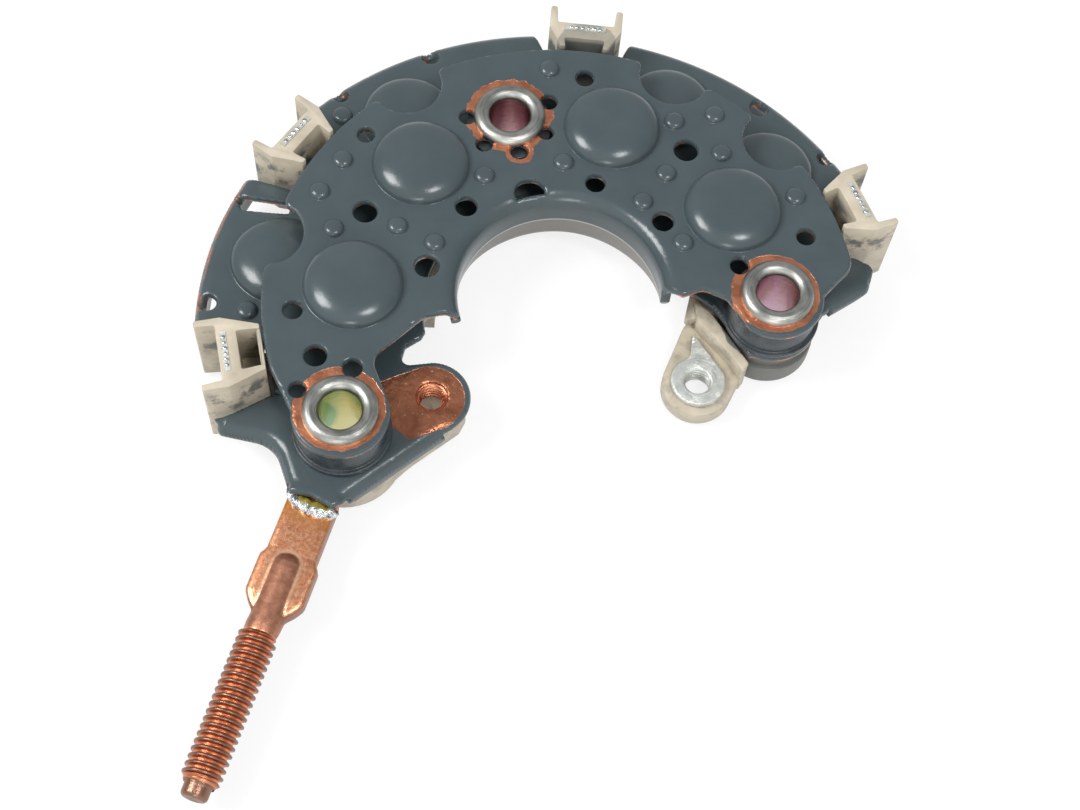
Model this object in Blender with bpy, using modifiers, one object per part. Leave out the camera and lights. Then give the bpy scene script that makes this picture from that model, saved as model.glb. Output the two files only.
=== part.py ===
"""Alternator rectifier: two copper diode plates riveted over a moulded terminal holder.

The pieces are modelled in millimetres and turned into metres at the end. X and Y lie in the plane of the
plates, with the shaft of the alternator at X = Y = 0, and Z points up from the foot of the rivets.
"""
import math

import bmesh
import bpy
from mathutils import Matrix

MM = 0.001
WELD = 1e-4
GRID_DIGITS = 4

# Sheet, gaps and heights
SHEET = 1.6
CLEAR = 0.3
COLLAR_HEIGHT = 0.6
HOLDER_HEIGHT = 6.5
SPACER_HEIGHT = 5.4

HOLDER_BASE = COLLAR_HEIGHT + CLEAR
HOLDER_TOP = HOLDER_BASE + HOLDER_HEIGHT
LOWER_UNDER = HOLDER_TOP + CLEAR
LOWER_TOP = LOWER_UNDER + SHEET
SPACER_BASE = LOWER_TOP + CLEAR
SPACER_TOP = SPACER_BASE + SPACER_HEIGHT
UPPER_UNDER = SPACER_TOP + CLEAR
UPPER_TOP = UPPER_UNDER + SHEET

# Rivets and the bushes that they hold
RIVETS = {"left": (-32.4, -23.9), "back": (-11.8, 34.45), "right": (35.1, 5.5)}
RIVET_BORE = 3.4
RIVET_WALL = 0.7
RIVET_FLANGE = 6.1
RIVET_CROWN = 1.4
COLLAR_RADIUS = 5.9
SPACER_RADIUS = 7.3
SPACER_FOOT = 8.0
SPACER_FOOT_HEIGHT = 0.7
SHOULDER_WALL = 1.0
RIVET_RADIUS = RIVET_BORE + RIVET_WALL
RIVET_HOLE = RIVET_RADIUS + CLEAR
SHOULDER_RADIUS = RIVET_HOLE + SHOULDER_WALL

# Diodes: pressed domes, what fills them and the lead pins
DOME_RADIUS = 8.2
DOME_HEIGHT = 2.75
DOME_WALL = 1.2
DOME_SQUARENESS = 3.2
LEAD_RADIUS = 0.7
LEAD_HOLE = 1.6
POTTING_DEPTH = 1.2
LOWER_POTTING = 0.05
UPPER_DOMES = ((-33.55, -1.2), (-25.6, 23.2), (5.6, 34.4), (27.0, 20.7))
LOWER_DOME_CIRCLE = 47.3
LOWER_DOME_ANGLES = (172.6, 128.4, 71.4, 45.6)

# Upper plate
UPPER_CENTRE = (0.1, 1.4)
UPPER_RADIUS = 48.5
BORE_CENTRE = (-0.1, 2.4)
SKIRT_RADIUS = 16.8
BEND_RADIUS = 2.8
SKIRT_DEPTH = 9.9
SKIRT_RUN = ((24.0, SKIRT_DEPTH + 0.5), (17.0, SKIRT_DEPTH), (14.0, 9.4), (11.0, 8.0), (2.0, 6.2),
             (-7.5, 4.6), (-14.0, 4.6))
LOBE_RADIUS = 7.8
SCALLOP_OUT = 0.9
SCALLOP_CIRCLE = UPPER_RADIUS + SCALLOP_OUT
SCALLOP_RADIUS = 6.0
SCALLOP_ANGLES = (46.5, 71.7, 127.5, 171.9)
SCALLOP_LIP = 1.6
NUB_RADIUS = 1.75
NUB_TOP = 1.25
NUB_HEIGHT = 0.8
UPPER_HOLES = (
    (0.2, 44.1, 3.0), (18.5, 31.6, 4.0), (3.8, 23.1, 3.2), (15.6, 17.1, 3.5), (39.4, 17.1, 3.0),
    (-35.4, 27.8, 2.8), (-33.5, 12.8, 3.9), (-17.1, 15.9, 3.5), (-22.2, 3.8, 3.9), (-42.5, -6.9, 3.1),
    (-37.7, -14.6, 3.6), (-6.9, 19.9, 5.0), (-18.9, 33.6, 2.7), (-15.5, 28.5, 2.7), (-9.5, 27.8, 2.9),
    (-5.4, 32.1, 2.5), (-5.5, 38.4, 2.8), (-39.6, -20.9, 2.7), (-31.6, -16.1, 3.1), (28.7, 10.2, 3.0),
)
UPPER_NUBS = (
    (-6.1, 45.0), (-1.9, 26.4), (16.1, 37.0), (15.4, 26.4), (-14.8, 22.1), (11.9, 20.4), (24.4, 31.6),
    (37.3, 24.5), (19.1, 13.3), (-38.6, 22.2), (-41.5, 15.6), (-38.2, 8.8), (-27.9, 10.6), (-21.5, 8.2),
    (22.8, 39.2),
)

# Lower plate
RIM_OVERHANG = 10.7
LOWER_RADIUS = UPPER_RADIUS + RIM_OVERHANG
LOWER_BORE = 22.4
LOWER_BEND = 2.2
RIM_DEPTH = 6.0
WING_SKIRT_DEPTH = 4.0
NECK_EDGE = -36.25
TONGUE_HOLE = (-19.0, -15.9)
TONGUE_RADIUS = 6.3
TONGUE_THREAD = 2.45
NOTCH_CLEARANCE = 0.9
NOTCH_REACH = UPPER_RADIUS - NOTCH_CLEARANCE
NOTCH_NECK = 6.7
LOWER_NUBS = ((-51.0, -4.0), (-40.8, 35.9))
RIM_HOLES = ((-57.3, -3.1, 2.8), (-41.6, 40.3, 2.6), (-27.3, 50.6, 3.0), (31.4, 47.3, 3.2), (43.3, 38.3, 2.8))
EDGE_SKIRTS = {
    "left_wing_skirt": ((-51.6, -26.9), (-45.2, -27.3), (-41.4, -28.9), (-39.3, -33.6)),
    "tongue_skirt": ((-29.8, -34.9), (-15.4, -21.2)),
    "right_wing_skirt": ((45.2, 7.9), (51.2, 12.9)),
}
AIR_SLOT = ((-56.2, 17.6, 0.2), (-54.6, 15.1, 0.2), (-47.2, 15.5, 0.2), (-47.1, 17.4, 0.2))

# Holder, wire guides and phase terminals
GUIDES = {"left": 197.0, "upper_left": 150.5, "top": 90.6, "right": 27.6}
GUIDE_GAPS = {"left": (10.4, 7.6), "upper_left": (10.0, 8.0), "top": (8.0, 8.6), "right": (8.8, 10.0)}
GUIDE_INSET = 0.6
GUIDE_TIP = LOWER_RADIUS - GUIDE_INSET
GUIDE_PROUD = 0.3
GUIDE_TOP = UPPER_TOP + GUIDE_PROUD
GUIDE_HALF_WIDTH = 6.3
GUIDE_WALL = 1.2
GUIDE_THROAT = 3.3
GUIDE_SHOULDER = 4.3
GUIDE_HEEL = 4.1
WEB_BACK = 6.55
WEB_POCKET_HALF = 3.5
POCKET_FLOOR = 4.0
STRIP_WIDTH = 7.0
STRIP_HALF = 1.6
STRIP_THICKNESS = 0.9
STRIP_INSET = 4.4
STRIP_PROUD = 0.15
RING_RADIUS = 43.0
RING_BORE = 20.6
RING_WALL = 1.8
RING_ROOF = 2.0
POST_RADIUS = 2.4
ARM_HALF_WIDTH = 4.0
ARM_STEP = 0.1
POST_STEP = 0.5
THIN_WALL = 0.65
SOCKET_FLOOR = 1.5
BOSS_RADIUS = 7.5
BOSS_FEET = {"left": 10.3, "back": 9.4, "right": 9.8}
TONGUE_BOSS_RADIUS = 4.3
ARM_TOP = LOWER_TOP - WING_SKIRT_DEPTH - CLEAR
LUG_HOLE = (24.2, -5.9)
LUG_RADIUS = 6.2
LUG_ROOT = (26.5, 2.0)
LUG_ROOT_RADIUS = 6.4
LUG_WALL = ((23.2, 3.9, 0.3), (28.3, -1.1, 0.0), (31.2, -4.7, 0.3), (32.1, -3.1, 0.3), (28.3, 1.9, 0.0),
            (25.2, 5.7, 0.0), (22.3, 7.6, 0.3))
LUG_THREAD = 2.5
LUG_TOP = HOLDER_BASE + 3.5
LUG_STRIP = 1.0
LUG_STRIP_RADIUS = 4.5
LUG_STRIP_LENGTH = 4.8
WALL_TOP = LOWER_TOP - 1.0
STRIP_BASE = HOLDER_BASE + CLEAR
STRIP_TOP = STRIP_BASE + STRIP_THICKNESS

# Output stud, lying level, with its blade just under the neck of the lower plate
STUD_HEAD = (-40.6, -57.9)
STUD_ANGLE = 258.0
BLADE_THICKNESS = 3.6
BLADE_HALF_WIDTH = 3.9
BLADE_SHOULDER = 4.6
BLADE_START = -22.6
SHANK_RADIUS = 2.75
THREAD_RADIUS = 3.175
THREAD_LENGTH = 24.7
DOG_RADIUS = 2.15
DOG_LENGTH = 2.2
STUD_AXIS = LOWER_UNDER - CLEAR - BLADE_THICKNESS / 2
SOLDER_HEIGHT = 1.1
SOLDER_BEVEL = 0.4

# Facets
ARC_STEP = 12.0
FILLET_STEP = 30.0
SHEET_STEPS = 60
DOME_STEPS = 20
DOME_RINGS = 4
HOLLOW_RINGS = 3
DIODE_STEPS = 12
HOLE_STEPS = 10
NUB_STEPS = 8
RIVET_STEPS = 20

PARTS = "alternator_rectifier"
TOOLS = "cutters"


def clear_scene():
    """Remove what the scene held and make the two collections."""
    for old in list(bpy.data.objects):
        bpy.data.objects.remove(old, do_unlink=True)
    for name in (PARTS, TOOLS):
        collection = bpy.data.collections.new(name)
        bpy.context.scene.collection.children.link(collection)


def polar(radius, angle, centre=(0.0, 0.0)):
    """A point by radius and angle in degrees."""
    turn = math.radians(angle)
    return centre[0] + radius * math.cos(turn), centre[1] + radius * math.sin(turn)


def arc(centre, radius, start, end, step=ARC_STEP):
    """Corner points along a circle, from one angle to the other, both ends included."""
    count = max(1, math.ceil(abs(end - start) / step))
    angles = [start + (end - start) * index / count for index in range(count + 1)]
    return [(*polar(radius, angle, centre), 0.0) for angle in angles]


def rounded(corners, step=FILLET_STEP):
    """Turn corners of (x, y, fillet radius) into plain points, with each fillet as an arc."""
    points = []
    for index, (x, y, radius) in enumerate(corners):
        if radius == 0.0:
            points.append((x, y))
            continue
        before = corners[index - 1]
        after = corners[(index + 1) % len(corners)]
        length_before = math.hypot(before[0] - x, before[1] - y)
        length_after = math.hypot(after[0] - x, after[1] - y)
        angle_before = math.atan2(before[1] - y, before[0] - x)
        angle_after = math.atan2(after[1] - y, after[0] - x)
        spread = turn_between(angle_before, angle_after)
        half = abs(spread) / 2
        tangent = min(radius / math.tan(half), 0.49 * length_before, 0.49 * length_after)
        fillet = tangent * math.tan(half)
        reach = fillet / math.sin(half)
        middle = angle_before + spread / 2
        centre = (x + reach * math.cos(middle), y + reach * math.sin(middle))
        first = math.atan2(y + tangent * math.sin(angle_before) - centre[1],
                           x + tangent * math.cos(angle_before) - centre[0])
        last = math.atan2(y + tangent * math.sin(angle_after) - centre[1],
                          x + tangent * math.cos(angle_after) - centre[0])
        sweep = turn_between(first, last)
        pieces = max(1, math.ceil(math.degrees(abs(sweep)) / step))
        for piece in range(pieces + 1):
            turn = first + sweep * piece / pieces
            points.append((centre[0] + fillet * math.cos(turn), centre[1] + fillet * math.sin(turn)))
    return points


def turn_between(first, last):
    """The short way round from one angle to another, in radians."""
    return (last - first + math.pi) % (2 * math.pi) - math.pi


def add_object(name, data, collection):
    """Link a new object into one of the two collections, cutters as wires that never render."""
    created = bpy.data.objects.new(name, data)
    bpy.data.collections[collection].objects.link(created)
    if collection == TOOLS:
        created.hide_render = True
        created.display_type = "WIRE"
    return created


def as_mesh(source, collection):
    """Swap an object with a curve or modifiers for one with the plain, welded mesh that it shows."""
    depsgraph = bpy.context.evaluated_depsgraph_get()
    mesh = bpy.data.meshes.new_from_object(source.evaluated_get(depsgraph))
    work = bmesh.new()
    work.from_mesh(mesh)
    bmesh.ops.remove_doubles(work, verts=work.verts, dist=WELD)
    bmesh.ops.recalc_face_normals(work, faces=work.faces)
    work.to_mesh(mesh)
    work.free()
    name = source.name
    matrix = source.matrix_world.copy()
    bpy.data.objects.remove(source, do_unlink=True)
    result = add_object(name, mesh, collection)
    result.matrix_world = matrix
    return result


def snap(solid):
    """Bake a solid's place into its mesh on a fine grid, so that faces meant to be level are level."""
    solid.data.transform(solid.matrix_world)
    solid.matrix_world = Matrix.Identity(4)
    for vertex in solid.data.vertices:
        vertex.co = [round(value, GRID_DIGITS) for value in vertex.co]
    return solid


def prism(name, corners, bottom, top, collection=TOOLS):
    """A flat outline of corners, extruded from one height to another."""
    points = rounded(corners)
    curve = bpy.data.curves.new(name, "CURVE")
    curve.dimensions = "2D"
    curve.fill_mode = "BOTH"
    curve.extrude = (top - bottom) / 2
    spline = curve.splines.new("POLY")
    spline.points.add(len(points) - 1)
    for point, (x, y) in zip(spline.points, points):
        point.co = (x, y, 0.0, 1.0)
    spline.use_cyclic_u = True
    flat = add_object(name, curve, TOOLS)
    flat.location.z = (top + bottom) / 2
    bpy.context.view_layer.update()
    return snap(as_mesh(flat, collection))


def turned(name, profile, steps, centre=(0.0, 0.0), closed=False, collection=TOOLS):
    """A turned shape from (radius, height) points that run down its outer side."""
    mesh = bpy.data.meshes.new(name)
    edges = [(index, index + 1) for index in range(len(profile) - 1)]
    if closed:
        edges.append((len(profile) - 1, 0))
    mesh.from_pydata([(radius, 0.0, height) for radius, height in profile], edges, [])
    body = add_object(name, mesh, TOOLS)
    screw = body.modifiers.new("turn", "SCREW")
    screw.axis = "Z"
    screw.steps = steps
    screw.render_steps = steps
    screw.use_merge_vertices = True
    screw.merge_threshold = WELD
    body.location = (*centre, 0.0)
    bpy.context.view_layer.update()
    solid = as_mesh(body, collection)
    return snap(solid) if collection == TOOLS else solid


def drill(name, x, y, radius, bottom, top, steps=HOLE_STEPS):
    """An upright round cutter, made from Blender's cone primitive."""
    mesh = bpy.data.meshes.new(name)
    work = bmesh.new()
    bmesh.ops.create_cone(work, cap_ends=True, segments=steps, radius1=radius, radius2=radius,
                          depth=top - bottom)
    work.to_mesh(mesh)
    work.free()
    cutter = add_object(name, mesh, TOOLS)
    cutter.location = (x, y, (top + bottom) / 2)
    bpy.context.view_layer.update()
    return snap(cutter)


def combine(target, operation, operands):
    """Union, difference or intersection with each operand in turn, applied to the target's mesh."""
    for operand in operands:
        boolean = target.modifiers.new(operand.name, "BOOLEAN")
        boolean.operation = operation
        boolean.object = operand
        boolean.solver = "EXACT"
        bpy.context.view_layer.update()
        depsgraph = bpy.context.evaluated_depsgraph_get()
        result = bpy.data.meshes.new_from_object(target.evaluated_get(depsgraph))
        target.modifiers.clear()
        target.data = result


def finish(target, colour, roughness, metallic, smooth=35.0):
    """Give a piece its material, and shade its round faces smooth."""
    material = bpy.data.materials.new(target.name)
    material.use_nodes = True
    shader = material.node_tree.nodes["Principled BSDF"]
    shader.inputs["Base Color"].default_value = (*colour, 1.0)
    shader.inputs["Roughness"].default_value = roughness
    shader.inputs["Metallic"].default_value = metallic
    target.data.materials.clear()
    target.data.materials.append(material)
    target.data.shade_smooth()
    target.data.set_sharp_from_angle(angle=math.radians(smooth))


def superellipse(radius, height, base, count):
    """The upper half of a dome's section, from its crown down to its foot."""
    points = []
    for index in range(count + 1):
        turn = math.pi / 2 * index / count
        out = radius * math.sin(turn) ** (2 / DOME_SQUARENESS)
        up = height * math.cos(turn)
        points.append((out, base + up))
    return points


def dome_shells(name, places, sheet_top):
    """The solid outside of each dome on a sheet."""
    shells = []
    for index, place in enumerate(places):
        profile = superellipse(DOME_RADIUS, DOME_HEIGHT, sheet_top, DOME_RINGS)
        profile += [(DOME_RADIUS, sheet_top - SHEET / 2), (0.0, sheet_top - SHEET / 2)]
        shells.append(turned(f"{name}_dome_{index + 1}", profile, DOME_STEPS, place))
    return shells


def dome_hollows(name, places, sheet_top):
    """The inside of each dome, open below the sheet."""
    hollows = []
    radius = DOME_RADIUS - DOME_WALL
    height = SHEET + DOME_HEIGHT - DOME_WALL
    for index, place in enumerate(places):
        base = sheet_top - SHEET
        profile = superellipse(radius, height, base, HOLLOW_RINGS)
        profile += [(radius, base - 1.0), (0.0, base - 1.0)]
        hollows.append(turned(f"{name}_hollow_{index + 1}", profile, DOME_STEPS, place))
    return hollows


def nubs(name, places, sheet_top):
    """Small pressed bumps on a sheet."""
    made = []
    for index, place in enumerate(places):
        profile = [(0.0, sheet_top + NUB_HEIGHT), (NUB_TOP, sheet_top + NUB_HEIGHT), (NUB_RADIUS, sheet_top),
                   (NUB_RADIUS, sheet_top - SHEET / 2), (0.0, sheet_top - SHEET / 2)]
        made.append(turned(f"{name}_nub_{index + 1}", profile, NUB_STEPS, place))
    return made


def lower_dome_places():
    """The centres of the domes on the lower plate."""
    return [polar(LOWER_DOME_CIRCLE, angle) for angle in LOWER_DOME_ANGLES]


def scallop(angle):
    """A round bite in the upper plate's edge over a lower dome, with softened lips."""
    centre = polar(SCALLOP_CIRCLE, angle)
    offset = (centre[0] - UPPER_CENTRE[0], centre[1] - UPPER_CENTRE[1])
    distance = math.hypot(*offset)
    middle = math.degrees(math.atan2(offset[1], offset[0]))
    cosine = (UPPER_RADIUS ** 2 + distance ** 2 - SCALLOP_RADIUS ** 2) / (2 * UPPER_RADIUS * distance)
    half = math.degrees(math.acos(cosine))
    entry = polar(UPPER_RADIUS, middle - half, UPPER_CENTRE)
    leave = polar(UPPER_RADIUS, middle + half, UPPER_CENTRE)
    first = math.degrees(math.atan2(entry[1] - centre[1], entry[0] - centre[0])) % 360
    last = math.degrees(math.atan2(leave[1] - centre[1], leave[0] - centre[0])) % 360
    if last > first:
        last -= 360
    bite = arc(centre, SCALLOP_RADIUS, first, last, 20.0)[1:-1]
    return middle - half, [(*entry, SCALLOP_LIP), *bite, (*leave, SCALLOP_LIP)], middle + half


def upper_outline():
    """The plan of the upper plate, anticlockwise from the lobe of the right rivet."""
    corners = arc(RIVETS["right"], LOBE_RADIUS, 238.0, 365.0)
    corners += [(43.5, 7.2, 0.8), (47.6, 12.4, 6.0)]
    angle = 18.0
    for place in SCALLOP_ANGLES:
        start, bite, end = scallop(place)
        corners += arc(UPPER_CENTRE, UPPER_RADIUS, angle, start - 3.0, 6.0)
        corners += bite
        angle = end + 3.0
    corners += arc(UPPER_CENTRE, UPPER_RADIUS, angle, 203.0, 6.0)
    corners += arc(RIVETS["left"], LOBE_RADIUS, 186.0, 380.0)
    corners += [(-28.9, -13.9, 3.0), (-21.4, -5.3, 2.5)]
    inside = SKIRT_RADIUS - 2.0
    corners.append((*polar(SKIRT_RADIUS + SHEET, 205.5, BORE_CENTRE), 0.0))
    corners.append((*polar(inside, 205.5, BORE_CENTRE), 0.0))
    corners.append((*polar(inside, 2.0, BORE_CENTRE), 0.0))
    corners.append((*polar(SKIRT_RADIUS + SHEET + 1.0, 1.5, BORE_CENTRE), 0.0))
    corners += [(23.0, 5.2, 2.0), (27.0, 3.9, 2.0)]
    return corners


def bent_sheet(name, top, skirt_radius, bend, depth, far_radius, inward, centre):
    """A ring of sheet with one edge bent down into a skirt, turned from its section.

    inward puts the skirt on the bore side; otherwise it is on the outer side.
    """
    side = 1.0 if inward else -1.0
    pivot = skirt_radius + side * bend
    section = [(far_radius, top)]
    for index in range(4):
        turn = math.radians(30.0 * index)
        section.append((pivot - side * bend * math.sin(turn), top - bend + bend * math.cos(turn)))
    section.append((skirt_radius, top - depth))
    section.append((skirt_radius + side * SHEET, top - depth))
    inner = bend - SHEET
    for index in range(3):
        turn = math.radians(45.0 * (2 - index))
        section.append((pivot - side * inner * math.sin(turn), top - bend + inner * math.cos(turn)))
    section.append((far_radius, top - SHEET))
    return turned(name, section, SHEET_STEPS, centre, closed=True, collection=PARTS)


def skirt_trim():
    """What is cut off below the upper skirt, which gets shallower towards its two ends.

    The outline is drawn in Y and Z, as seen along X, and the prism is then turned to stand there.
    """
    base = UPPER_TOP
    points = [(y, base - depth, 0.0) for y, depth in SKIRT_RUN]
    points += [(SKIRT_RUN[-1][0], base - 14.0, 0.0), (SKIRT_RUN[0][0], base - 14.0, 0.0)]
    half = SKIRT_RADIUS + 5.0
    trim = prism("upper_skirt_trim", points, -half, half)
    trim.rotation_euler = (math.radians(90.0), 0.0, math.radians(90.0))
    return trim


def make_upper_plate():
    """The earthed plate: a sheet with a skirt round the shaft, domes, nubs and holes."""
    far = UPPER_RADIUS + 8.0
    plate = bent_sheet("upper_plate", UPPER_TOP, SKIRT_RADIUS, BEND_RADIUS, SKIRT_DEPTH, far, True,
                       BORE_CENTRE)
    plan = prism("upper_plan", upper_outline(), UPPER_TOP - SKIRT_DEPTH - 2.0, UPPER_TOP + 2.0)
    combine(plate, "INTERSECT", [plan])
    raised = dome_shells("upper", UPPER_DOMES, UPPER_TOP) + nubs("upper", UPPER_NUBS, UPPER_TOP)
    combine(plate, "UNION", raised)
    cutters = dome_hollows("upper", UPPER_DOMES, UPPER_TOP)
    for index, (x, y, size) in enumerate(UPPER_HOLES):
        cutters.append(drill(f"upper_hole_{index + 1}", x, y, size / 2, UPPER_TOP - 6.0, UPPER_TOP + 1.0))
    for key, (x, y) in RIVETS.items():
        cutters.append(drill(f"upper_rivet_hole_{key}", x, y, RIVET_HOLE, UPPER_UNDER - 1.0, UPPER_TOP + 1.0,
                             RIVET_STEPS))
    cutters.append(skirt_trim())
    combine(plate, "DIFFERENCE", cutters)
    finish(plate, (0.098, 0.136, 0.150), 0.32, 0.0)
    return plate


def guide_gap(angle, before, after):
    """The gap that a wire guide needs in the lower plate's edge, anticlockwise, as corners.

    before and after are the half widths at the outer edge, on the clockwise side and the other.
    """
    out = LOWER_RADIUS + 3.0
    neck = LOWER_RADIUS - NOTCH_NECK
    across = ((out, -before - 1.5), (LOWER_RADIUS - 1.5, -before), (neck, -7.3), (NOTCH_REACH, -5.0),
              (NOTCH_REACH, 5.0), (neck, 7.3), (LOWER_RADIUS - 1.5, after), (out, after + 1.5))
    turn = math.radians(angle)
    return [(r * math.cos(turn) - t * math.sin(turn), r * math.sin(turn) + t * math.cos(turn), 0.0)
            for r, t in across]


def lower_outline():
    """The plan of the lower plate, anticlockwise from the edge below the right rivet."""
    corners = arc(RIVETS["right"], LOBE_RADIUS + 0.6, 252.0, 360.0)
    corners += [(44.2, 7.4, 1.5), (51.9, 13.4, 1.5), (52.3, 17.6, 0.8)]
    corners += arc((0.0, 0.0), LOWER_RADIUS + 2.0, 24.0, 190.5, 7.0)
    corners.append((-50.0, -12.0, 0.0))
    corners += [(-53.0, -23.9, 1.2), (-52.0, -27.0, 1.2), (-42.7, -27.6, 6.0), (-38.7, NECK_EDGE, 0.8),
                (-31.2, NECK_EDGE, 0.8)]
    corners += arc(TONGUE_HOLE, TONGUE_RADIUS, -46.6, 95.0, 14.0)
    corners += [(-24.9, -10.9, 1.8), (-24.4, -7.4, 0.8), (-22.0, -5.4, 0.8)]
    corners += arc(BORE_CENTRE, LOWER_BORE, 197.0, 16.0, 8.0)
    corners += [(25.5, 6.0, 0.0), (28.7, 2.3, 0.0), (31.9, -2.2, 0.8)]
    return corners


def edge_wall(name, corners, depth):
    """A skirt that hangs from a straight run of the lower plate's edge, inside the corners given."""
    inner = []
    count = len(corners)
    for index, (x, y) in enumerate(corners):
        before = corners[max(index - 1, 0)]
        after = corners[min(index + 1, count - 1)]
        along = (after[0] - before[0], after[1] - before[1])
        length = math.hypot(*along)
        inner.append((x - along[1] / length * SHEET, y + along[0] / length * SHEET))
    outline = [(x, y, 0.0) for x, y in corners] + [(x, y, 0.0) for x, y in reversed(inner)]
    return prism(name, outline, LOWER_TOP - depth, LOWER_TOP - SHEET / 2)


def make_lower_plate():
    """The live plate: a sheet with a rim, domes, a bare tongue, two wings and the stud's neck."""
    plate = bent_sheet("lower_plate", LOWER_TOP, LOWER_RADIUS, LOWER_BEND, RIM_DEPTH, 8.0, False, (0.0, 0.0))
    plan = prism("lower_plan", lower_outline(), LOWER_TOP - RIM_DEPTH - 2.0, LOWER_TOP + 2.0)
    combine(plate, "INTERSECT", [plan])
    places = lower_dome_places()
    raised = dome_shells("lower", places, LOWER_TOP) + nubs("lower", LOWER_NUBS, LOWER_TOP)
    for name, run in EDGE_SKIRTS.items():
        raised.append(edge_wall(name, run, WING_SKIRT_DEPTH))
    combine(plate, "UNION", raised)
    cutters = dome_hollows("lower", places, LOWER_TOP)
    low = LOWER_UNDER - 1.0
    high = LOWER_TOP + 1.0
    for index, (x, y) in enumerate(UPPER_DOMES):
        cutters.append(drill(f"lower_lead_hole_{index + 1}", x, y, LEAD_HOLE, low, high))
    for index, (x, y, size) in enumerate(RIM_HOLES):
        cutters.append(drill(f"rim_hole_{index + 1}", x, y, size / 2, LOWER_UNDER - 1.5, high))
    for key, (x, y) in RIVETS.items():
        shoulder_hole = SHOULDER_RADIUS + CLEAR
        cutters.append(drill(f"lower_rivet_hole_{key}", x, y, shoulder_hole, low, high, RIVET_STEPS))
    cutters.append(drill("tongue_hole", *TONGUE_HOLE, TONGUE_THREAD, low, high, RIVET_STEPS))
    cutters.append(prism("air_slot", AIR_SLOT, low, high))
    for key, angle in GUIDES.items():
        gap = guide_gap(angle, *GUIDE_GAPS[key])
        cutters.append(prism(f"guide_gap_{key}", gap, LOWER_TOP - RIM_DEPTH - 1.0, high))
    combine(plate, "DIFFERENCE", cutters)
    finish(plate, (0.098, 0.136, 0.150), 0.32, 0.0)
    return plate


def guide_frame(angle, shape):
    """Turn (distance in from the tip, sideways, fillet) corners to a guide's place."""
    turn = math.radians(angle)
    placed = []
    for inset, side, fillet in shape:
        radius = GUIDE_TIP - inset
        placed.append((radius * math.cos(turn) - side * math.sin(turn),
                       radius * math.sin(turn) + side * math.cos(turn), fillet))
    return placed


def guide_heel(angle):
    """How far in from its tip a guide may reach, up to the upper plate's edge and its clearance."""
    turn = math.radians(angle)
    along = UPPER_CENTRE[0] * math.cos(turn) + UPPER_CENTRE[1] * math.sin(turn)
    square = UPPER_RADIUS ** 2 - UPPER_CENTRE[0] ** 2 - UPPER_CENTRE[1] ** 2 + along ** 2
    return GUIDE_TIP - (along + math.sqrt(square) + CLEAR)


def guide_outline(key, angle):
    """The plan of one wire guide: two legs and a web, closed by a thin wall on the left one."""
    heel = guide_heel(angle)
    inner = GUIDE_HALF_WIDTH - GUIDE_WALL
    end = GUIDE_HEEL - GUIDE_WALL * 0.8
    if key == "left":
        back = [(heel, GUIDE_HEEL - 0.9, 0.3), (heel, -GUIDE_HEEL + 0.9, 0.3)]
    else:
        back = [(heel, GUIDE_HEEL, 0.0), (heel, end, 0.0), (WEB_BACK, WEB_POCKET_HALF, 0.0),
                (WEB_BACK, -WEB_POCKET_HALF, 0.0), (heel, -end, 0.0), (heel, -GUIDE_HEEL, 0.0)]
    shape = [(0.0, -GUIDE_HALF_WIDTH, 0.5), (0.0, -inner, 0.2), (GUIDE_THROAT, -inner + 0.2, 0.0),
             (GUIDE_THROAT, inner - 0.2, 0.0), (0.0, inner, 0.2), (0.0, GUIDE_HALF_WIDTH, 0.5),
             (GUIDE_SHOULDER, GUIDE_HALF_WIDTH, 0.0), *back, (GUIDE_SHOULDER, -GUIDE_HALF_WIDTH, 0.0)]
    return guide_frame(angle, shape)


def holder_ring():
    """The horseshoe of the moulding, hollow from below, as its outline and its hollow."""
    outer = arc((0.0, 0.0), RING_RADIUS, 2.0, 206.0, 8.0)
    inner = arc(BORE_CENTRE, RING_BORE, 195.0, 10.0, 8.0)
    ring = prism("terminal_holder", outer + inner, HOLDER_BASE, HOLDER_TOP, PARTS)
    outer = arc((0.0, 0.0), RING_RADIUS - RING_WALL, 12.0, 198.0, 8.0)
    inner = arc(BORE_CENTRE, RING_BORE + RING_WALL, 188.0, 16.0, 8.0)
    hollow = prism("ring_hollow", outer + inner, HOLDER_BASE - 1.0, HOLDER_TOP - RING_ROOF)
    return ring, hollow


def capsule(start, end, start_radius, end_radius):
    """The outline round two circles, as corners."""
    angle = math.degrees(math.atan2(end[1] - start[1], end[0] - start[0]))
    distance = math.hypot(end[0] - start[0], end[1] - start[1])
    lean = math.degrees(math.asin((start_radius - end_radius) / distance))
    corners = arc(end, end_radius, angle - 90.0 + lean, angle + 90.0 - lean, 24.0)
    corners += arc(start, start_radius, angle + 90.0 - lean, angle + 270.0 + lean, 24.0)
    return corners


def bar_outline(start, end, half):
    """The outline of a straight bar that reaches its half width past both of its end points."""
    length = math.hypot(end[0] - start[0], end[1] - start[1])
    along = ((end[0] - start[0]) / length * half, (end[1] - start[1]) / length * half)
    across = (-along[1], along[0])
    return [(start[0] - along[0] - across[0], start[1] - along[1] - across[1], 0.0),
            (end[0] + along[0] - across[0], end[1] + along[1] - across[1], 0.0),
            (end[0] + along[0] + across[0], end[1] + along[1] + across[1], 0.0),
            (start[0] - along[0] + across[0], start[1] - along[1] + across[1], 0.0)]


def strip_route(key):
    """Where a phase strip runs: from its upper diode's lead, past the guide, to the lower one's."""
    index = list(GUIDES).index(key)
    foot = polar(GUIDE_TIP - STRIP_INSET, GUIDES[key])
    return UPPER_DOMES[index], foot, lower_dome_places()[index]


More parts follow.
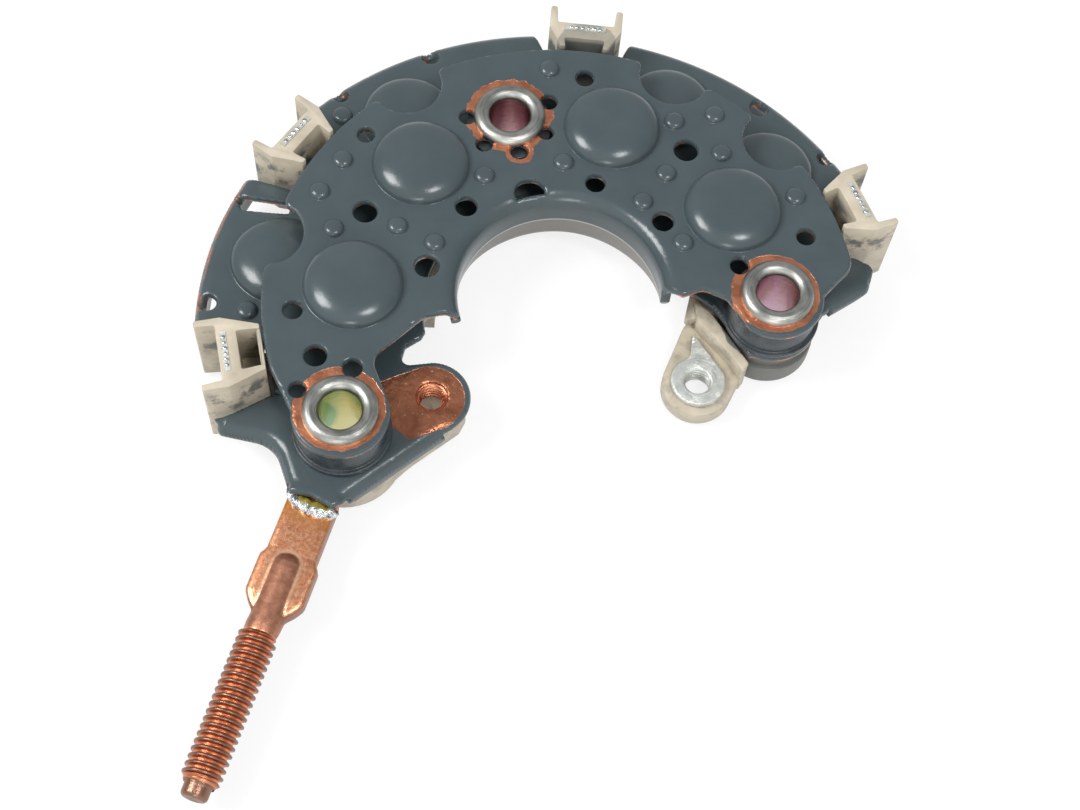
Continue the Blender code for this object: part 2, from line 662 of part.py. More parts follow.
def strip_solid(name, key, grow, foot_heights, blade_heights, collection=TOOLS):
    """A phase strip's two flat bars and upright blade as one solid, grown when it is used to cut."""
    upper, foot, lower = strip_route(key)
    strip = prism(name, bar_outline(upper, foot, STRIP_HALF + grow), *foot_heights, collection)
    branch = prism(f"{name}_branch", bar_outline(foot, lower, STRIP_HALF + grow), *foot_heights)
    half = STRIP_WIDTH / 2 + grow
    near = STRIP_INSET - STRIP_THICKNESS / 2 - grow
    far = STRIP_INSET + STRIP_THICKNESS / 2 + grow
    shape = [(near, -half, 0.0), (near, half, 0.0), (far, half, 0.0), (far, -half, 0.0)]
    blade = prism(f"{name}_blade", guide_frame(GUIDES[key], shape), *blade_heights)
    combine(strip, "UNION", [branch, blade])
    return strip


def make_holder():
    """The moulding that carries the plates: ring, bosses, guides, lug and sockets."""
    holder, hollow = holder_ring()
    combine(holder, "DIFFERENCE", [hollow])
    added = []
    for key, (x, y) in RIVETS.items():
        added.append(drill(f"boss_{key}", x, y, BOSS_RADIUS, HOLDER_BASE, HOLDER_TOP, RIVET_STEPS))
        added.append(drill(f"boss_foot_{key}", x, y, BOSS_FEET[key], HOLDER_BASE, ARM_TOP, RIVET_STEPS))
    tongue_arm = capsule(RIVETS["left"], TONGUE_HOLE, BOSS_RADIUS, TONGUE_RADIUS - 0.6)
    added.append(prism("tongue_arm", tongue_arm, HOLDER_BASE, ARM_TOP))
    added.append(drill("tongue_boss", *TONGUE_HOLE, TONGUE_BOSS_RADIUS, HOLDER_BASE, HOLDER_TOP, RIVET_STEPS))
    post_top = HOLDER_TOP - POST_STEP
    for index, (x, y) in enumerate(UPPER_DOMES):
        added.append(drill(f"lead_post_{index + 1}", x, y, POST_RADIUS, STRIP_TOP + CLEAR, post_top))
    for key, angle in GUIDES.items():
        added.append(prism(f"guide_{key}", guide_outline(key, angle), HOLDER_BASE, GUIDE_TOP))
        start = GUIDE_THROAT + 1.0
        end = GUIDE_TIP - RING_RADIUS + RING_WALL
        arm = [(start, -ARM_HALF_WIDTH, 0.0), (start, ARM_HALF_WIDTH, 0.0), (end, ARM_HALF_WIDTH, 0.0),
               (end, -ARM_HALF_WIDTH, 0.0)]
        added.append(prism(f"arm_{key}", guide_frame(angle, arm), HOLDER_BASE, HOLDER_TOP - ARM_STEP))
    lug = capsule(LUG_ROOT, LUG_HOLE, LUG_ROOT_RADIUS, LUG_RADIUS)
    added.append(prism("lug", lug, HOLDER_BASE, LUG_TOP))
    added.append(prism("lug_wall", LUG_WALL, HOLDER_BASE, WALL_TOP))
    combine(holder, "UNION", added)
    cutters = []
    low = HOLDER_BASE - 1.0
    high = HOLDER_TOP + 1.0
    for key, (x, y) in RIVETS.items():
        cutters.append(drill(f"bore_{key}", x, y, RIVET_HOLE, low, high, RIVET_STEPS))
    socket_floor = HOLDER_BASE + SOCKET_FLOOR
    socket = TONGUE_THREAD + CLEAR
    cutters.append(drill("tongue_socket", *TONGUE_HOLE, socket, socket_floor, high, RIVET_STEPS))
    cutters.append(drill("lug_bore", *LUG_HOLE, LUG_THREAD + CLEAR, low, LUG_TOP + 1.0, RIVET_STEPS))
    for index, (x, y) in enumerate(UPPER_DOMES):
        cutters.append(drill(f"socket_{index + 1}", x, y, LEAD_RADIUS + CLEAR, HOLDER_BASE, high))
    for key, angle in GUIDES.items():
        cutters.append(strip_solid(f"channel_{key}", key, CLEAR, (low, STRIP_TOP + CLEAR),
                                   (HOLDER_BASE - 0.5, GUIDE_TOP + 1.0)))
        heel = guide_heel(angle)
        end = heel - THIN_WALL if key == "left" else heel + 0.5
        narrow = WEB_POCKET_HALF - 0.5
        pocket = [(WEB_BACK, -WEB_POCKET_HALF, 0.0), (WEB_BACK, WEB_POCKET_HALF, 0.0), (end, narrow, 0.0),
                  (end, -narrow, 0.0)]
        cutters.append(prism(f"pocket_{key}", guide_frame(angle, pocket), POCKET_FLOOR, GUIDE_TOP + 1.0))
    combine(holder, "DIFFERENCE", cutters)
    finish(holder, (0.610, 0.530, 0.380), 0.55, 0.0)
    return holder


def make_rivets():
    """Steel tube rivets: a rolled flange on the upper plate, and a collar under the holder."""
    seat = UPPER_TOP + CLEAR
    for key, place in RIVETS.items():
        crown = []
        reach = (RIVET_FLANGE - RIVET_BORE) / 2
        middle = RIVET_BORE + reach
        for index in range(7):
            turn = math.radians(180.0 - 30.0 * index)
            crown.append((middle + reach * math.cos(turn), seat + 0.2 + (RIVET_CROWN - 0.2) * math.sin(turn)))
        profile = crown + [(RIVET_FLANGE - 0.4, seat), (RIVET_RADIUS, seat), (RIVET_RADIUS, COLLAR_HEIGHT),
                           (COLLAR_RADIUS, COLLAR_HEIGHT), (COLLAR_RADIUS, 0.0), (RIVET_BORE, 0.0)]
        rivet = turned(f"rivet_{key}", profile, RIVET_STEPS, place, closed=True, collection=PARTS)
        finish(rivet, (0.52, 0.52, 0.50), 0.35, 1.0)


def make_spacers():
    """Insulating bushes that hold the plates apart, each with a foot and a shoulder below."""
    for key, place in RIVETS.items():
        foot = SPACER_BASE + SPACER_FOOT_HEIGHT
        profile = [(RIVET_HOLE, SPACER_TOP), (SPACER_RADIUS, SPACER_TOP), (SPACER_RADIUS, foot),
                   (SPACER_FOOT, foot), (SPACER_FOOT, SPACER_BASE), (SHOULDER_RADIUS, SPACER_BASE),
                   (SHOULDER_RADIUS, LOWER_UNDER), (RIVET_HOLE, LOWER_UNDER)]
        spacer = turned(f"spacer_{key}", profile, RIVET_STEPS, place, closed=True, collection=PARTS)
        finish(spacer, (0.080, 0.105, 0.115), 0.40, 0.0)


def make_diode(name, place, sheet_top, potting, lead_end):
    """One diode: what fills its dome, and the lead pin that hangs from it."""
    radius = DOME_RADIUS - DOME_WALL - CLEAR
    base = sheet_top - SHEET
    height = SHEET + DOME_HEIGHT - DOME_WALL - CLEAR
    profile = superellipse(radius, height, base, HOLLOW_RINGS)
    under = base - potting
    profile += [(radius, under), (LEAD_RADIUS, under), (LEAD_RADIUS, lead_end), (0.0, lead_end)]
    diode = turned(name, profile, DIODE_STEPS, place, collection=PARTS)
    finish(diode, (0.10, 0.10, 0.11), 0.5, 0.0)


def make_diodes():
    """The four diodes of each plate."""
    lead_end = STRIP_TOP + CLEAR
    for index, place in enumerate(UPPER_DOMES):
        make_diode(f"diode_upper_{index + 1}", place, UPPER_TOP, POTTING_DEPTH, lead_end)
    for index, place in enumerate(lower_dome_places()):
        make_diode(f"diode_lower_{index + 1}", place, LOWER_TOP, LOWER_POTTING, lead_end)


def make_phase_terminals():
    """Tinned strips: a blade up through each guide's web, and a foot to two diode leads."""
    for key in GUIDES:
        strip = strip_solid(f"phase_terminal_{key}", key, 0.0, (STRIP_BASE, STRIP_TOP),
                            (STRIP_BASE + STRIP_THICKNESS / 2, GUIDE_TOP + STRIP_PROUD), PARTS)
        finish(strip, (0.62, 0.64, 0.62), 0.4, 1.0)


def make_lug_terminal():
    """The tinned strip on the holder's lug, with a threaded hole."""
    x, y = LUG_HOLE
    end = (x - 1.9, y + LUG_STRIP_LENGTH)
    outline = capsule(end, LUG_HOLE, LUG_STRIP_RADIUS - 1.5, LUG_STRIP_RADIUS)
    strip = prism("lug_terminal", outline, LUG_TOP + CLEAR, LUG_TOP + CLEAR + LUG_STRIP, PARTS)
    thread = drill("lug_thread", x, y, LUG_THREAD, LUG_TOP - 1.0, LUG_TOP + 4.0, RIVET_STEPS)
    combine(strip, "DIFFERENCE", [thread])
    finish(strip, (0.60, 0.63, 0.61), 0.4, 1.0)


def stud_place(solid):
    """Lay a solid that was modelled along Z onto the stud's axis."""
    solid.rotation_euler = (0.0, math.radians(90.0), math.radians(STUD_ANGLE))
    solid.location = (*STUD_HEAD, STUD_AXIS)
    return solid


def make_stud():
    """The output stud: a flattened blade that swells into a round shank, thread and dog point."""
    profile = [(0.0, THREAD_LENGTH + DOG_LENGTH)]
    for index in range(1, 4):
        turn = math.radians(30.0 * index)
        profile.append((DOG_RADIUS * math.sin(turn), THREAD_LENGTH + DOG_LENGTH - 1.0 + math.cos(turn)))
    profile += [(DOG_RADIUS, THREAD_LENGTH), (THREAD_RADIUS, THREAD_LENGTH - 0.6), (THREAD_RADIUS, -0.3),
                (SHANK_RADIUS, -1.3), (SHANK_RADIUS, -12.0)]
    for index in range(1, 4):
        turn = math.radians(30.0 * index)
        profile.append((SHANK_RADIUS * math.cos(turn), -12.0 - 1.6 * math.sin(turn)))
    profile[-1] = (0.0, -13.6)
    stud = turned("output_stud", list(reversed(profile)), RIVET_STEPS, collection=PARTS)
    stud_place(stud)
    taper = SHANK_RADIUS - 0.1
    side = [(BLADE_START, BLADE_HALF_WIDTH, 0.3), (-13.3, BLADE_HALF_WIDTH, 0.0),
            (-12.3, BLADE_SHOULDER, 0.4), (-6.0, BLADE_SHOULDER, 0.6), (-3.2, taper, 0.8)]
    plan = [(along, -half, fillet) for along, half, fillet in side] + list(reversed(side))
    blade = prism("stud_blade", plan, -BLADE_THICKNESS / 2, BLADE_THICKNESS / 2)
    blade.rotation_euler = (0.0, 0.0, math.radians(STUD_ANGLE))
    blade.location = (*STUD_HEAD, STUD_AXIS)
    combine(stud, "UNION", [blade])
    finish(stud, (0.60, 0.25, 0.12), 0.3, 1.0)


def make_solder():
    """The solder fillet in the corner between the stud's blade and the plate's neck."""
    edge = NECK_EDGE - CLEAR
    plan = [(-37.9, edge, 0.3), (-38.6, edge - 2.1, 0.8), (-35.4, edge - 3.1, 1.2), (-32.6, edge - 1.9, 0.8),
            (-32.4, edge, 0.3)]
    bead = prism("stud_solder", plan, LOWER_UNDER, LOWER_UNDER + SOLDER_HEIGHT)
    bevel = bead.modifiers.new("soft", "BEVEL")
    bevel.width = SOLDER_BEVEL
    bevel.segments = 2
    bpy.context.view_layer.update()
    bead = as_mesh(bead, PARTS)
    finish(bead, (0.62, 0.63, 0.62), 0.35, 1.0)


def to_metres():
    """Scale every piece and cutter from millimetres, with the scale applied to the meshes."""
    for group in (bpy.data.collections[PARTS], bpy.data.collections[TOOLS]):
        for piece in group.objects:
            piece.data.transform(Matrix.Scale(MM, 4))
            piece.location = piece.location * MM


def stand_on_origin():
    """Hang every piece from one empty, so that the part's box stands centred on the origin."""
    bpy.context.view_layer.update()
    corners = []
    for piece in bpy.data.collections[PARTS].objects:
        corners += [piece.matrix_world @ vertex.co for vertex in piece.data.vertices]
    low = [min(corner[axis] for corner in corners) for axis in range(3)]
    high = [max(corner[axis] for corner in corners) for axis in range(3)]
    root = bpy.data.objects.new("rectifier_root", None)
    bpy.context.scene.collection.objects.link(root)
    for group in (bpy.data.collections[PARTS], bpy.data.collections[TOOLS]):
        for piece in group.objects:
            piece.parent = root
    root.location = (-(low[0] + high[0]) / 2, -(low[1] + high[1]) / 2, -low[2])
    bpy.context.view_layer.update()


def main():
    clear_scene()
    make_upper_plate()
    make_lower_plate()
    make_holder()
    make_rivets()
    make_spacers()
    make_diodes()
    make_phase_terminals()
    make_lug_terminal()
    make_stud()
    make_solder()
    to_metres()
    stand_on_origin()


main()
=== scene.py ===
# %% [markdown]
# # An alternator rectifier, dressed piece by piece
# The object is a horseshoe of two stacked copper plates on a cream plastic moulding. Each plate is pressed
# from sheet, painted blue grey, and carries four diodes under round domes. Three tube rivets hold the stack,
# and a threaded copper stud takes the current out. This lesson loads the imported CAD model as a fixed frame
# and gives every piece its finer shape and its finish.

# %% Load the frame
import math

import bmesh
import bpy
import numpy as np
from mathutils import Matrix, Vector, geometry


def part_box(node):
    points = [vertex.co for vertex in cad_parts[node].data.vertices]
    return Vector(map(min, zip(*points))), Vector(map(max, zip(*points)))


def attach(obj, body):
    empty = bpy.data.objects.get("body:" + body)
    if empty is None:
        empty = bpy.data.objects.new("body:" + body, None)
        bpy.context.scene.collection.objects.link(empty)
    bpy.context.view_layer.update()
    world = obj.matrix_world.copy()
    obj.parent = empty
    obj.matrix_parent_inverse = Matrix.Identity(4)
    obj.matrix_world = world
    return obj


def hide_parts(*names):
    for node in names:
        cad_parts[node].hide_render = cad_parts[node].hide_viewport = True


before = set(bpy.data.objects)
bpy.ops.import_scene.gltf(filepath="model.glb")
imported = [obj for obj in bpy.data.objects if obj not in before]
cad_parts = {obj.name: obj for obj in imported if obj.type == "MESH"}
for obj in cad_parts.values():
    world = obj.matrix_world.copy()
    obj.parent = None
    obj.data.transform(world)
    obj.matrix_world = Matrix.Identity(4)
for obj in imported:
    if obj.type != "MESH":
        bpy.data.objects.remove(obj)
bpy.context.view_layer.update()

# %% [markdown]
# ## One set of measures
# Everything is written in millimetres, with the alternator's shaft at X = Y = 0, because the sizes of such a
# part are easiest to read that way. The frame has its origin elsewhere, so one shift, measured on the left
# rivet, carries all points over.

# %% Sizes and the shift into the frame
MM = 0.001
SHEET = 1.6
FLOOR_TO_LOWER = 9.3
FLOOR_TO_UPPER = 16.9
RIVETS = {"left": (-32.4, -23.9), "back": (-11.8, 34.45), "right": (35.1, 5.5)}
UPPER_CENTRE = (0.1, 1.4)
UPPER_RADIUS = 48.5
BORE_CENTRE = (-0.1, 2.4)
SKIRT_RADIUS = 16.8
LOWER_RADIUS = 59.2
LOWER_BORE = 22.4
GUIDES = {"left": 197.0, "upper_left": 150.5, "top": 90.6, "right": 27.6}
GUIDE_TIP = 58.6
UPPER_DOMES = ((-33.55, -1.2), (-25.6, 23.2), (5.6, 34.4), (27.0, 20.7))
TONGUE_HOLE = (-19.0, -15.9)
LUG_HOLE = (24.2, -5.9)

corner, far_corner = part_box("rivet_left")
SHIFT = Vector(((corner.x + far_corner.x) / 2 / MM - RIVETS["left"][0],
                (corner.y + far_corner.y) / 2 / MM - RIVETS["left"][1], 0.0))
print("shift in mm:", [round(value, 3) for value in SHIFT])

# %% Pieces


def piece(name, points, faces):
    """A new mesh object from points in millimetres about the shaft, with its place in its mesh."""
    placed = (np.asarray(points, float).reshape(-1, 3) + np.array(SHIFT)) * MM
    mesh = bpy.data.meshes.new(name)
    mesh.from_pydata(placed.tolist(), [], [tuple(int(i) for i in face) for face in faces])
    made = bpy.data.objects.new(name, mesh)
    bpy.context.scene.collection.objects.link(made)
    return made


def skin(name, rings, around=False, closed=True):
    """Skin rings of points, merge doubles and turn all faces outwards.

    around joins the last ring to the first; otherwise both ends are capped. closed says that a ring is a loop.
    """
    count = len(rings[0])
    last = (len(rings) - 1) * count
    faces = [] if around else [tuple(range(count)), tuple(range(last, last + count))]
    for row in range(len(rings) if around else len(rings) - 1):
        here, there = row * count, (row + 1) % len(rings) * count
        for index in range(count if closed else count - 1):
            following = (index + 1) % count
            faces.append((here + index, here + following, there + following, there + index))
    made = piece(name, [point for ring in rings for point in ring], faces)
    work = bmesh.new()
    work.from_mesh(made.data)
    bmesh.ops.remove_doubles(work, verts=work.verts, dist=2e-6)
    bmesh.ops.recalc_face_normals(work, faces=work.faces)
    work.to_mesh(made.data)
    work.free()
    return made


def joined(name, parts):
    """Several meshes as one object."""
    work = bmesh.new()
    for part in parts:
        work.from_mesh(part.data)
        bpy.data.objects.remove(part, do_unlink=True)
    made = piece(name, [], [])
    work.to_mesh(made.data)
    work.free()
    return made


def evaluated(made):
    """The mesh of an object with its modifiers run, which are then removed."""
    bpy.context.view_layer.update()
    result = bpy.data.meshes.new_from_object(made.evaluated_get(bpy.context.evaluated_depsgraph_get()))
    made.modifiers.clear()
    return result


def coat(made, material):
    """Give an object one material."""
    made.data.materials.clear()
    made.data.materials.append(material)


def dress(made, material, nodes=(), smooth=38.0):
    """Give a finished piece its material, smooth shading and body, and hide the frame nodes it stands for."""
    coat(made, material)
    made.data.shade_smooth()
    made.data.set_sharp_from_angle(angle=math.radians(smooth))
    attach(made, "root")
    if nodes:
        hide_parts(*nodes)
    print(f"{made.name}: {len(made.data.vertices)} points, {len(made.data.polygons)} faces")


# %% [markdown]
# ## The camera first
# The photograph looks down on the part at 64 degrees with a slight roll. The camera was solved from the round
# rims of the rivets and domes, so each pixel of the render falls on the same spot as in the photograph.

# %% Camera
ELEVATION = math.radians(63.872)
ROLL = math.radians(6.151)
forward = Vector((0.0, math.cos(ELEVATION), -math.sin(ELEVATION)))
level = Vector((1.0, 0.0, 0.0))
rising = Vector((0.0, math.sin(ELEVATION), math.cos(ELEVATION)))
right_hand = math.cos(ROLL) * level + math.sin(ROLL) * rising
upward = -math.sin(ROLL) * level + math.cos(ROLL) * rising
lens = bpy.data.cameras.new("view")
lens.sensor_width = 36.0
lens.lens = 63.43
lens.clip_start = 0.01
camera = bpy.data.objects.new("view", lens)
camera.matrix_world = Matrix((right_hand, upward, -forward)).transposed().to_4x4()
camera.location = (Vector((-1.456, -150.981, 285.695)) + SHIFT) * MM
bpy.context.scene.collection.objects.link(camera)
bpy.context.scene.camera = camera
bpy.context.scene.view_settings.view_transform = "Standard"
print("camera at", [round(value, 4) for value in camera.location])

# %% [markdown]
# ## Short words for nodes
# A node tree takes many lines if each node and link is written out. A few helpers stand for the nodes that
# come again and again, and each returns the socket that the next one needs.

# %% Node helpers


def add(tree, kind, **settings):
    """Add a node and set its properties; a setting named in_X sets the input X or input number X."""
    made = tree.nodes.new(kind)
    for key, value in settings.items():
        if key.startswith("in_"):
            name = key[3:]
            made.inputs[int(name) if name.isdigit() else name.replace("_", " ")].default_value = value
        else:
            setattr(made, key, value)
    return made


def wire(tree, source, target):
    """Feed an input from a socket, from a node's first output, or with a plain value."""
    if isinstance(source, (int, float, tuple)):
        target.default_value = source
    else:
        tree.links.new(source.outputs[0] if isinstance(source, bpy.types.Node) else source, target)


def compute(tree, operation, *values, clamp=False):
    """A Math node fed by sockets or numbers."""
    made = add(tree, "ShaderNodeMath", operation=operation, use_clamp=clamp)
    for index, value in enumerate(values):
        wire(tree, value, made.inputs[index])
    return made.outputs[0]


def product(tree, first, *others):
    """Several values multiplied."""
    for value in others:
        first = compute(tree, "MULTIPLY", first, value)
    return first


def vector_math(tree, operation, *values):
    """A Vector Math node, with its vector or its value as the result."""
    made = add(tree, "ShaderNodeVectorMath", operation=operation)
    for index, value in enumerate(values):
        wire(tree, value, made.inputs["Scale" if operation == "SCALE" and index else index])
    return made.outputs["Value" if operation in ("DOT_PRODUCT", "DISTANCE", "LENGTH") else "Vector"]


def split(tree, vector):
    """The X, Y and Z outputs of a vector."""
    made = add(tree, "ShaderNodeSeparateXYZ")
    wire(tree, vector, made.inputs[0])
    return made.outputs


def combine(tree, x=0.0, y=0.0, z=0.0):
    """A vector from three values."""
    made = add(tree, "ShaderNodeCombineXYZ")
    for index, value in enumerate((x, y, z)):
        wire(tree, value, made.inputs[index])
    return made.outputs[0]


def spread(tree, value, low, high, at_low=0.0, at_high=1.0, kind="LINEAR"):
    """Carry a value from one range over to another, held at both ends."""
    made = add(tree, "ShaderNodeMapRange", interpolation_type=kind, in_1=low, in_2=high,
               in_3=at_low, in_4=at_high)
    wire(tree, value, made.inputs[0])
    return made.outputs[0]


def ramp(tree, value, stops):
    """A colour ramp from (position, colour) stops."""
    made = add(tree, "ShaderNodeValToRGB")
    band = made.color_ramp
    while len(band.elements) < len(stops):
        band.elements.new(0.5)
    for element, (position, colour) in zip(band.elements, stops):
        element.position = position
        element.color = (*colour, 1.0)
    wire(tree, value, made.inputs[0])
    return made.outputs[0]


def blend_colour(tree, factor, first, second):
    """Mix two colours by a factor; each may be a socket or a plain colour."""
    made = add(tree, "ShaderNodeMix", data_type="RGBA")
    wire(tree, factor, made.inputs[0])
    for socket, value in ((made.inputs[6], first), (made.inputs[7], second)):
        wire(tree, (*value, 1.0) if isinstance(value, tuple) else value, socket)
    return made.outputs[2]


def noise(tree, vector, scale=1.0, detail=3.0, roughness=0.55):
    """A noise value on a vector in millimetres."""
    made = add(tree, "ShaderNodeTexNoise", in_Detail=detail, in_Roughness=roughness)
    wire(tree, vector, made.inputs["Vector"])
    wire(tree, scale, made.inputs["Scale"])
    return made.outputs[0]


def shaded(colour, share):
    """A colour made darker or lighter."""
    return tuple(share * value for value in colour)


def srgb(red, green, blue):
    """A colour read off a screen, in the linear light that shaders use."""
    return tuple(((value / 255 + 0.055) / 1.055) ** 2.4 if value > 10 else value / 255 / 12.92
                 for value in (red, green, blue))


print("node helpers ready")

# %% [markdown]
# ## White ground and plain light
# The floor takes the soft shadow and still reads as white. The world gives the even light of a tent. Shiny
# paint and metal also need something to mirror, so glossy rays see a tent that is bright in front and greyer
# behind.

# %% Floor
bpy.ops.mesh.primitive_plane_add(size=3.0)
floor = bpy.context.object
floor.name = "floor"
paper = bpy.data.materials.new("white_paper")
paper.use_nodes = True
tree = paper.node_tree
matt = tree.nodes["Principled BSDF"]
matt.inputs["Base Color"].default_value = (0.92, 0.92, 0.92, 1.0)
matt.inputs["Roughness"].default_value = 0.9
glow = add(tree, "ShaderNodeEmission", in_Color=(1.0, 1.0, 1.0, 1.0), in_Strength=1.0)
path = add(tree, "ShaderNodeLightPath").outputs
seen = product(tree, compute(tree, "MAXIMUM", path["Is Camera Ray"], path["Is Glossy Ray"]), 0.8)
cover = add(tree, "ShaderNodeMixShader")
for index, source in enumerate((seen, matt, glow)):
    wire(tree, source, cover.inputs[index])
wire(tree, cover, tree.nodes["Material Output"].inputs["Surface"])
coat(floor, paper)
print("floor of", paper.name)

# %% World and lamps
world = bpy.data.worlds.new("tent")
bpy.context.scene.world = world
world.use_nodes = True
tree = world.node_tree
sky = tree.nodes["Background"]
front = product(tree, split(tree, add(tree, "ShaderNodeTexCoord").outputs["Generated"])["Y"], -1.0)
glossy = ramp(tree, compute(tree, "MULTIPLY_ADD", front, 0.5, 0.5),
              [(0.0, (0.60, 0.60, 0.61)), (0.30, (0.34, 0.35, 0.36)), (0.50, (0.34, 0.35, 0.36)),
               (0.80, (0.95, 0.95, 0.95))])
path = add(tree, "ShaderNodeLightPath").outputs
tone = blend_colour(tree, path["Is Glossy Ray"], (0.72, 0.73, 0.75), glossy)
wire(tree, blend_colour(tree, path["Is Camera Ray"], tone, (1.0, 1.0, 1.0)), sky.inputs["Color"])
sky.inputs["Strength"].default_value = 1.0
LAMPS = (("left_box", (-0.51, -0.04, 0.61), 0.30, 4.2), ("right_box", (0.26, -0.23, 0.73), 0.19, 2.0),
         ("front_box", (0.0, -0.80, 0.34), 0.22, 1.0))
for name, spot, size, power in LAMPS:
    light = bpy.data.lights.new(name, "AREA")
    light.shape = "SQUARE"
    light.size = size
    light.energy = power
    lamp = bpy.data.objects.new(name, light)
    lamp.location = spot
    lamp.rotation_euler = (-Vector(spot)).to_track_quat("-Z", "Y").to_euler()
    bpy.context.scene.collection.objects.link(lamp)
print("world and", len(LAMPS), "lamps")

# %% [markdown]
# ## Plan outlines
# A plate starts as a flat blank, so its plan comes first: arcs, straight runs and rounded corners. The same
# corner lists drive the CAD solids, here with finer arcs.

# %% Outline helpers


def polar(radius, angle, centre=(0.0, 0.0)):
    """A point by radius and angle in degrees."""
    turn = math.radians(angle)
    return centre[0] + radius * math.cos(turn), centre[1] + radius * math.sin(turn)


def heading(start, end):
    """The direction from one point to another, in radians."""
    return math.atan2(end[1] - start[1], end[0] - start[0])


def arc(centre, radius, start, end, step=3.0):
    """Corner points along a circle, both ends included."""
    count = max(1, math.ceil(abs(end - start) / step))
    angles = [start + (end - start) * index / count for index in range(count + 1)]
    return [(*polar(radius, angle, centre), 0.0) for angle in angles]


def turn_between(first, last):
    """The short way round from one angle to another, in radians."""
    return (last - first + math.pi) % (2 * math.pi) - math.pi


def rounded(corners, step=10.0):
    """Turn corners of (x, y, fillet radius) into plain points, with each fillet as an arc."""
    points = []
    for index, (x, y, radius) in enumerate(corners):
        if radius == 0.0:
            points.append((x, y))
            continue
        before, after = corners[index - 1], corners[(index + 1) % len(corners)]
        angle_before, angle_after = heading((x, y), before), heading((x, y), after)
        spread_angle = turn_between(angle_before, angle_after)
        half = abs(spread_angle) / 2
        room = [0.49 * math.hypot(end[0] - x, end[1] - y) for end in (before, after)]
        tangent = min(radius / math.tan(half), *room)
        fillet = tangent * math.tan(half)
        centre = polar(fillet / math.sin(half), math.degrees(angle_before + spread_angle / 2), (x, y))
        first = heading(centre, polar(tangent, math.degrees(angle_before), (x, y)))
        last = heading(centre, polar(tangent, math.degrees(angle_after), (x, y)))
        sweep = turn_between(first, last)
        steps = max(1, math.ceil(math.degrees(abs(sweep)) / step))
        points += [polar(fillet, math.degrees(first + sweep * part / steps), centre)
                   for part in range(steps + 1)]
    return points


def circle(x, y, radius, count=28):
    """A round hole as a loop of points."""
    return [polar(radius, 360.0 * index / count, (x, y)) for index in range(count)]


def held(loop, centre, low, high):
    """A loop kept between two radii about a centre, so that a hole on a bend stays whole."""
    result = []
    for x, y in loop:
        radius = math.hypot(x - centre[0], y - centre[1])
        share = min(max(radius, low), high) / radius
        result.append((centre[0] + (x - centre[0]) * share, centre[1] + (y - centre[1]) * share))
    return result


print("outline helpers ready")

# %% Plan of the upper plate
SCALLOP_ANGLES = (46.5, 71.7, 127.5, 171.9)
SCALLOP_CIRCLE = 49.4
BITE_RADIUS = 6.0
LIP = 3.0


def scallop(angle):
    """A round bite in the upper plate's edge over a lower dome, with softened lips."""
    centre = polar(SCALLOP_CIRCLE, angle)
    distance = math.hypot(centre[0] - UPPER_CENTRE[0], centre[1] - UPPER_CENTRE[1])
    middle = math.degrees(heading(UPPER_CENTRE, centre))
    cosine = (UPPER_RADIUS ** 2 + distance ** 2 - BITE_RADIUS ** 2) / (2 * UPPER_RADIUS * distance)
    half = math.degrees(math.acos(cosine))
    entry = polar(UPPER_RADIUS, middle - half, UPPER_CENTRE)
    leave = polar(UPPER_RADIUS, middle + half, UPPER_CENTRE)
    first = math.degrees(heading(centre, entry)) % 360
    last = math.degrees(heading(centre, leave)) % 360
    if last > first:
        last -= 360
    bite = arc(centre, BITE_RADIUS, first, last, 8.0)[3:-3]
    return middle - half, [(*entry, LIP), *bite, (*leave, LIP)], middle + half


def upper_outline():
    """The plan of the upper plate, anticlockwise from the lobe of the right rivet."""
    corners = arc(RIVETS["right"], 7.8, 238.0, 365.0)
    corners += [(43.5, 7.2, 0.8), (47.6, 12.4, 6.0)]
    angle = 18.0
    for place_angle in SCALLOP_ANGLES:
        start, bite, end = scallop(place_angle)
        corners += arc(UPPER_CENTRE, UPPER_RADIUS, angle, start - 3.0) + bite
        angle = end + 3.0
    corners += arc(UPPER_CENTRE, UPPER_RADIUS, angle, 203.0)
    corners += arc(RIVETS["left"], 7.8, 186.0, 380.0)
    corners += [(-28.9, -13.9, 3.0), (-21.4, -5.3, 2.5), (-18.6, -4.5, 0.8)]
    corners += arc(BORE_CENTRE, SKIRT_RADIUS, 201.5, 9.0)
    corners += [(19.8, 3.5, 1.0), (23.0, 5.2, 2.0), (27.0, 3.9, 2.0)]
    return rounded(corners)


UPPER_HOLES = (
    (0.2, 44.1, 3.0), (18.5, 31.6, 4.0), (3.8, 23.1, 3.2), (15.6, 17.1, 3.5), (39.4, 17.1, 3.0),
    (-35.4, 27.8, 2.8), (-33.5, 12.8, 3.9), (-17.1, 15.9, 3.5), (-22.2, 3.8, 3.9), (-42.5, -6.9, 3.1),
    (-37.7, -14.6, 3.6), (-6.9, 19.9, 5.0), (-18.9, 33.6, 2.7), (-15.5, 28.5, 2.7), (-9.5, 27.8, 2.9),
    (-5.4, 32.1, 2.5), (-5.5, 38.4, 2.8), (-39.6, -20.9, 2.7), (-31.6, -16.1, 3.1), (28.7, 10.2, 3.0),
)
UPPER_NUBS = (
    (-6.1, 45.0), (-1.9, 26.4), (16.1, 37.0), (15.4, 26.4), (-14.8, 22.1), (11.9, 20.4), (24.4, 31.6),
    (37.3, 24.5), (19.1, 13.3), (-38.6, 22.2), (-41.5, 15.6), (-38.2, 8.8), (-27.9, 10.6), (-21.5, 8.2),
    (22.8, 39.2),
)
HOLE_OFF_SKIRT = 1.4
NO_LIMIT = 99.0
upper_loops = [upper_outline()]
upper_loops += [held(circle(x, y, size / 2), BORE_CENTRE, SKIRT_RADIUS + HOLE_OFF_SKIRT, NO_LIMIT)
                for x, y, size in UPPER_HOLES]
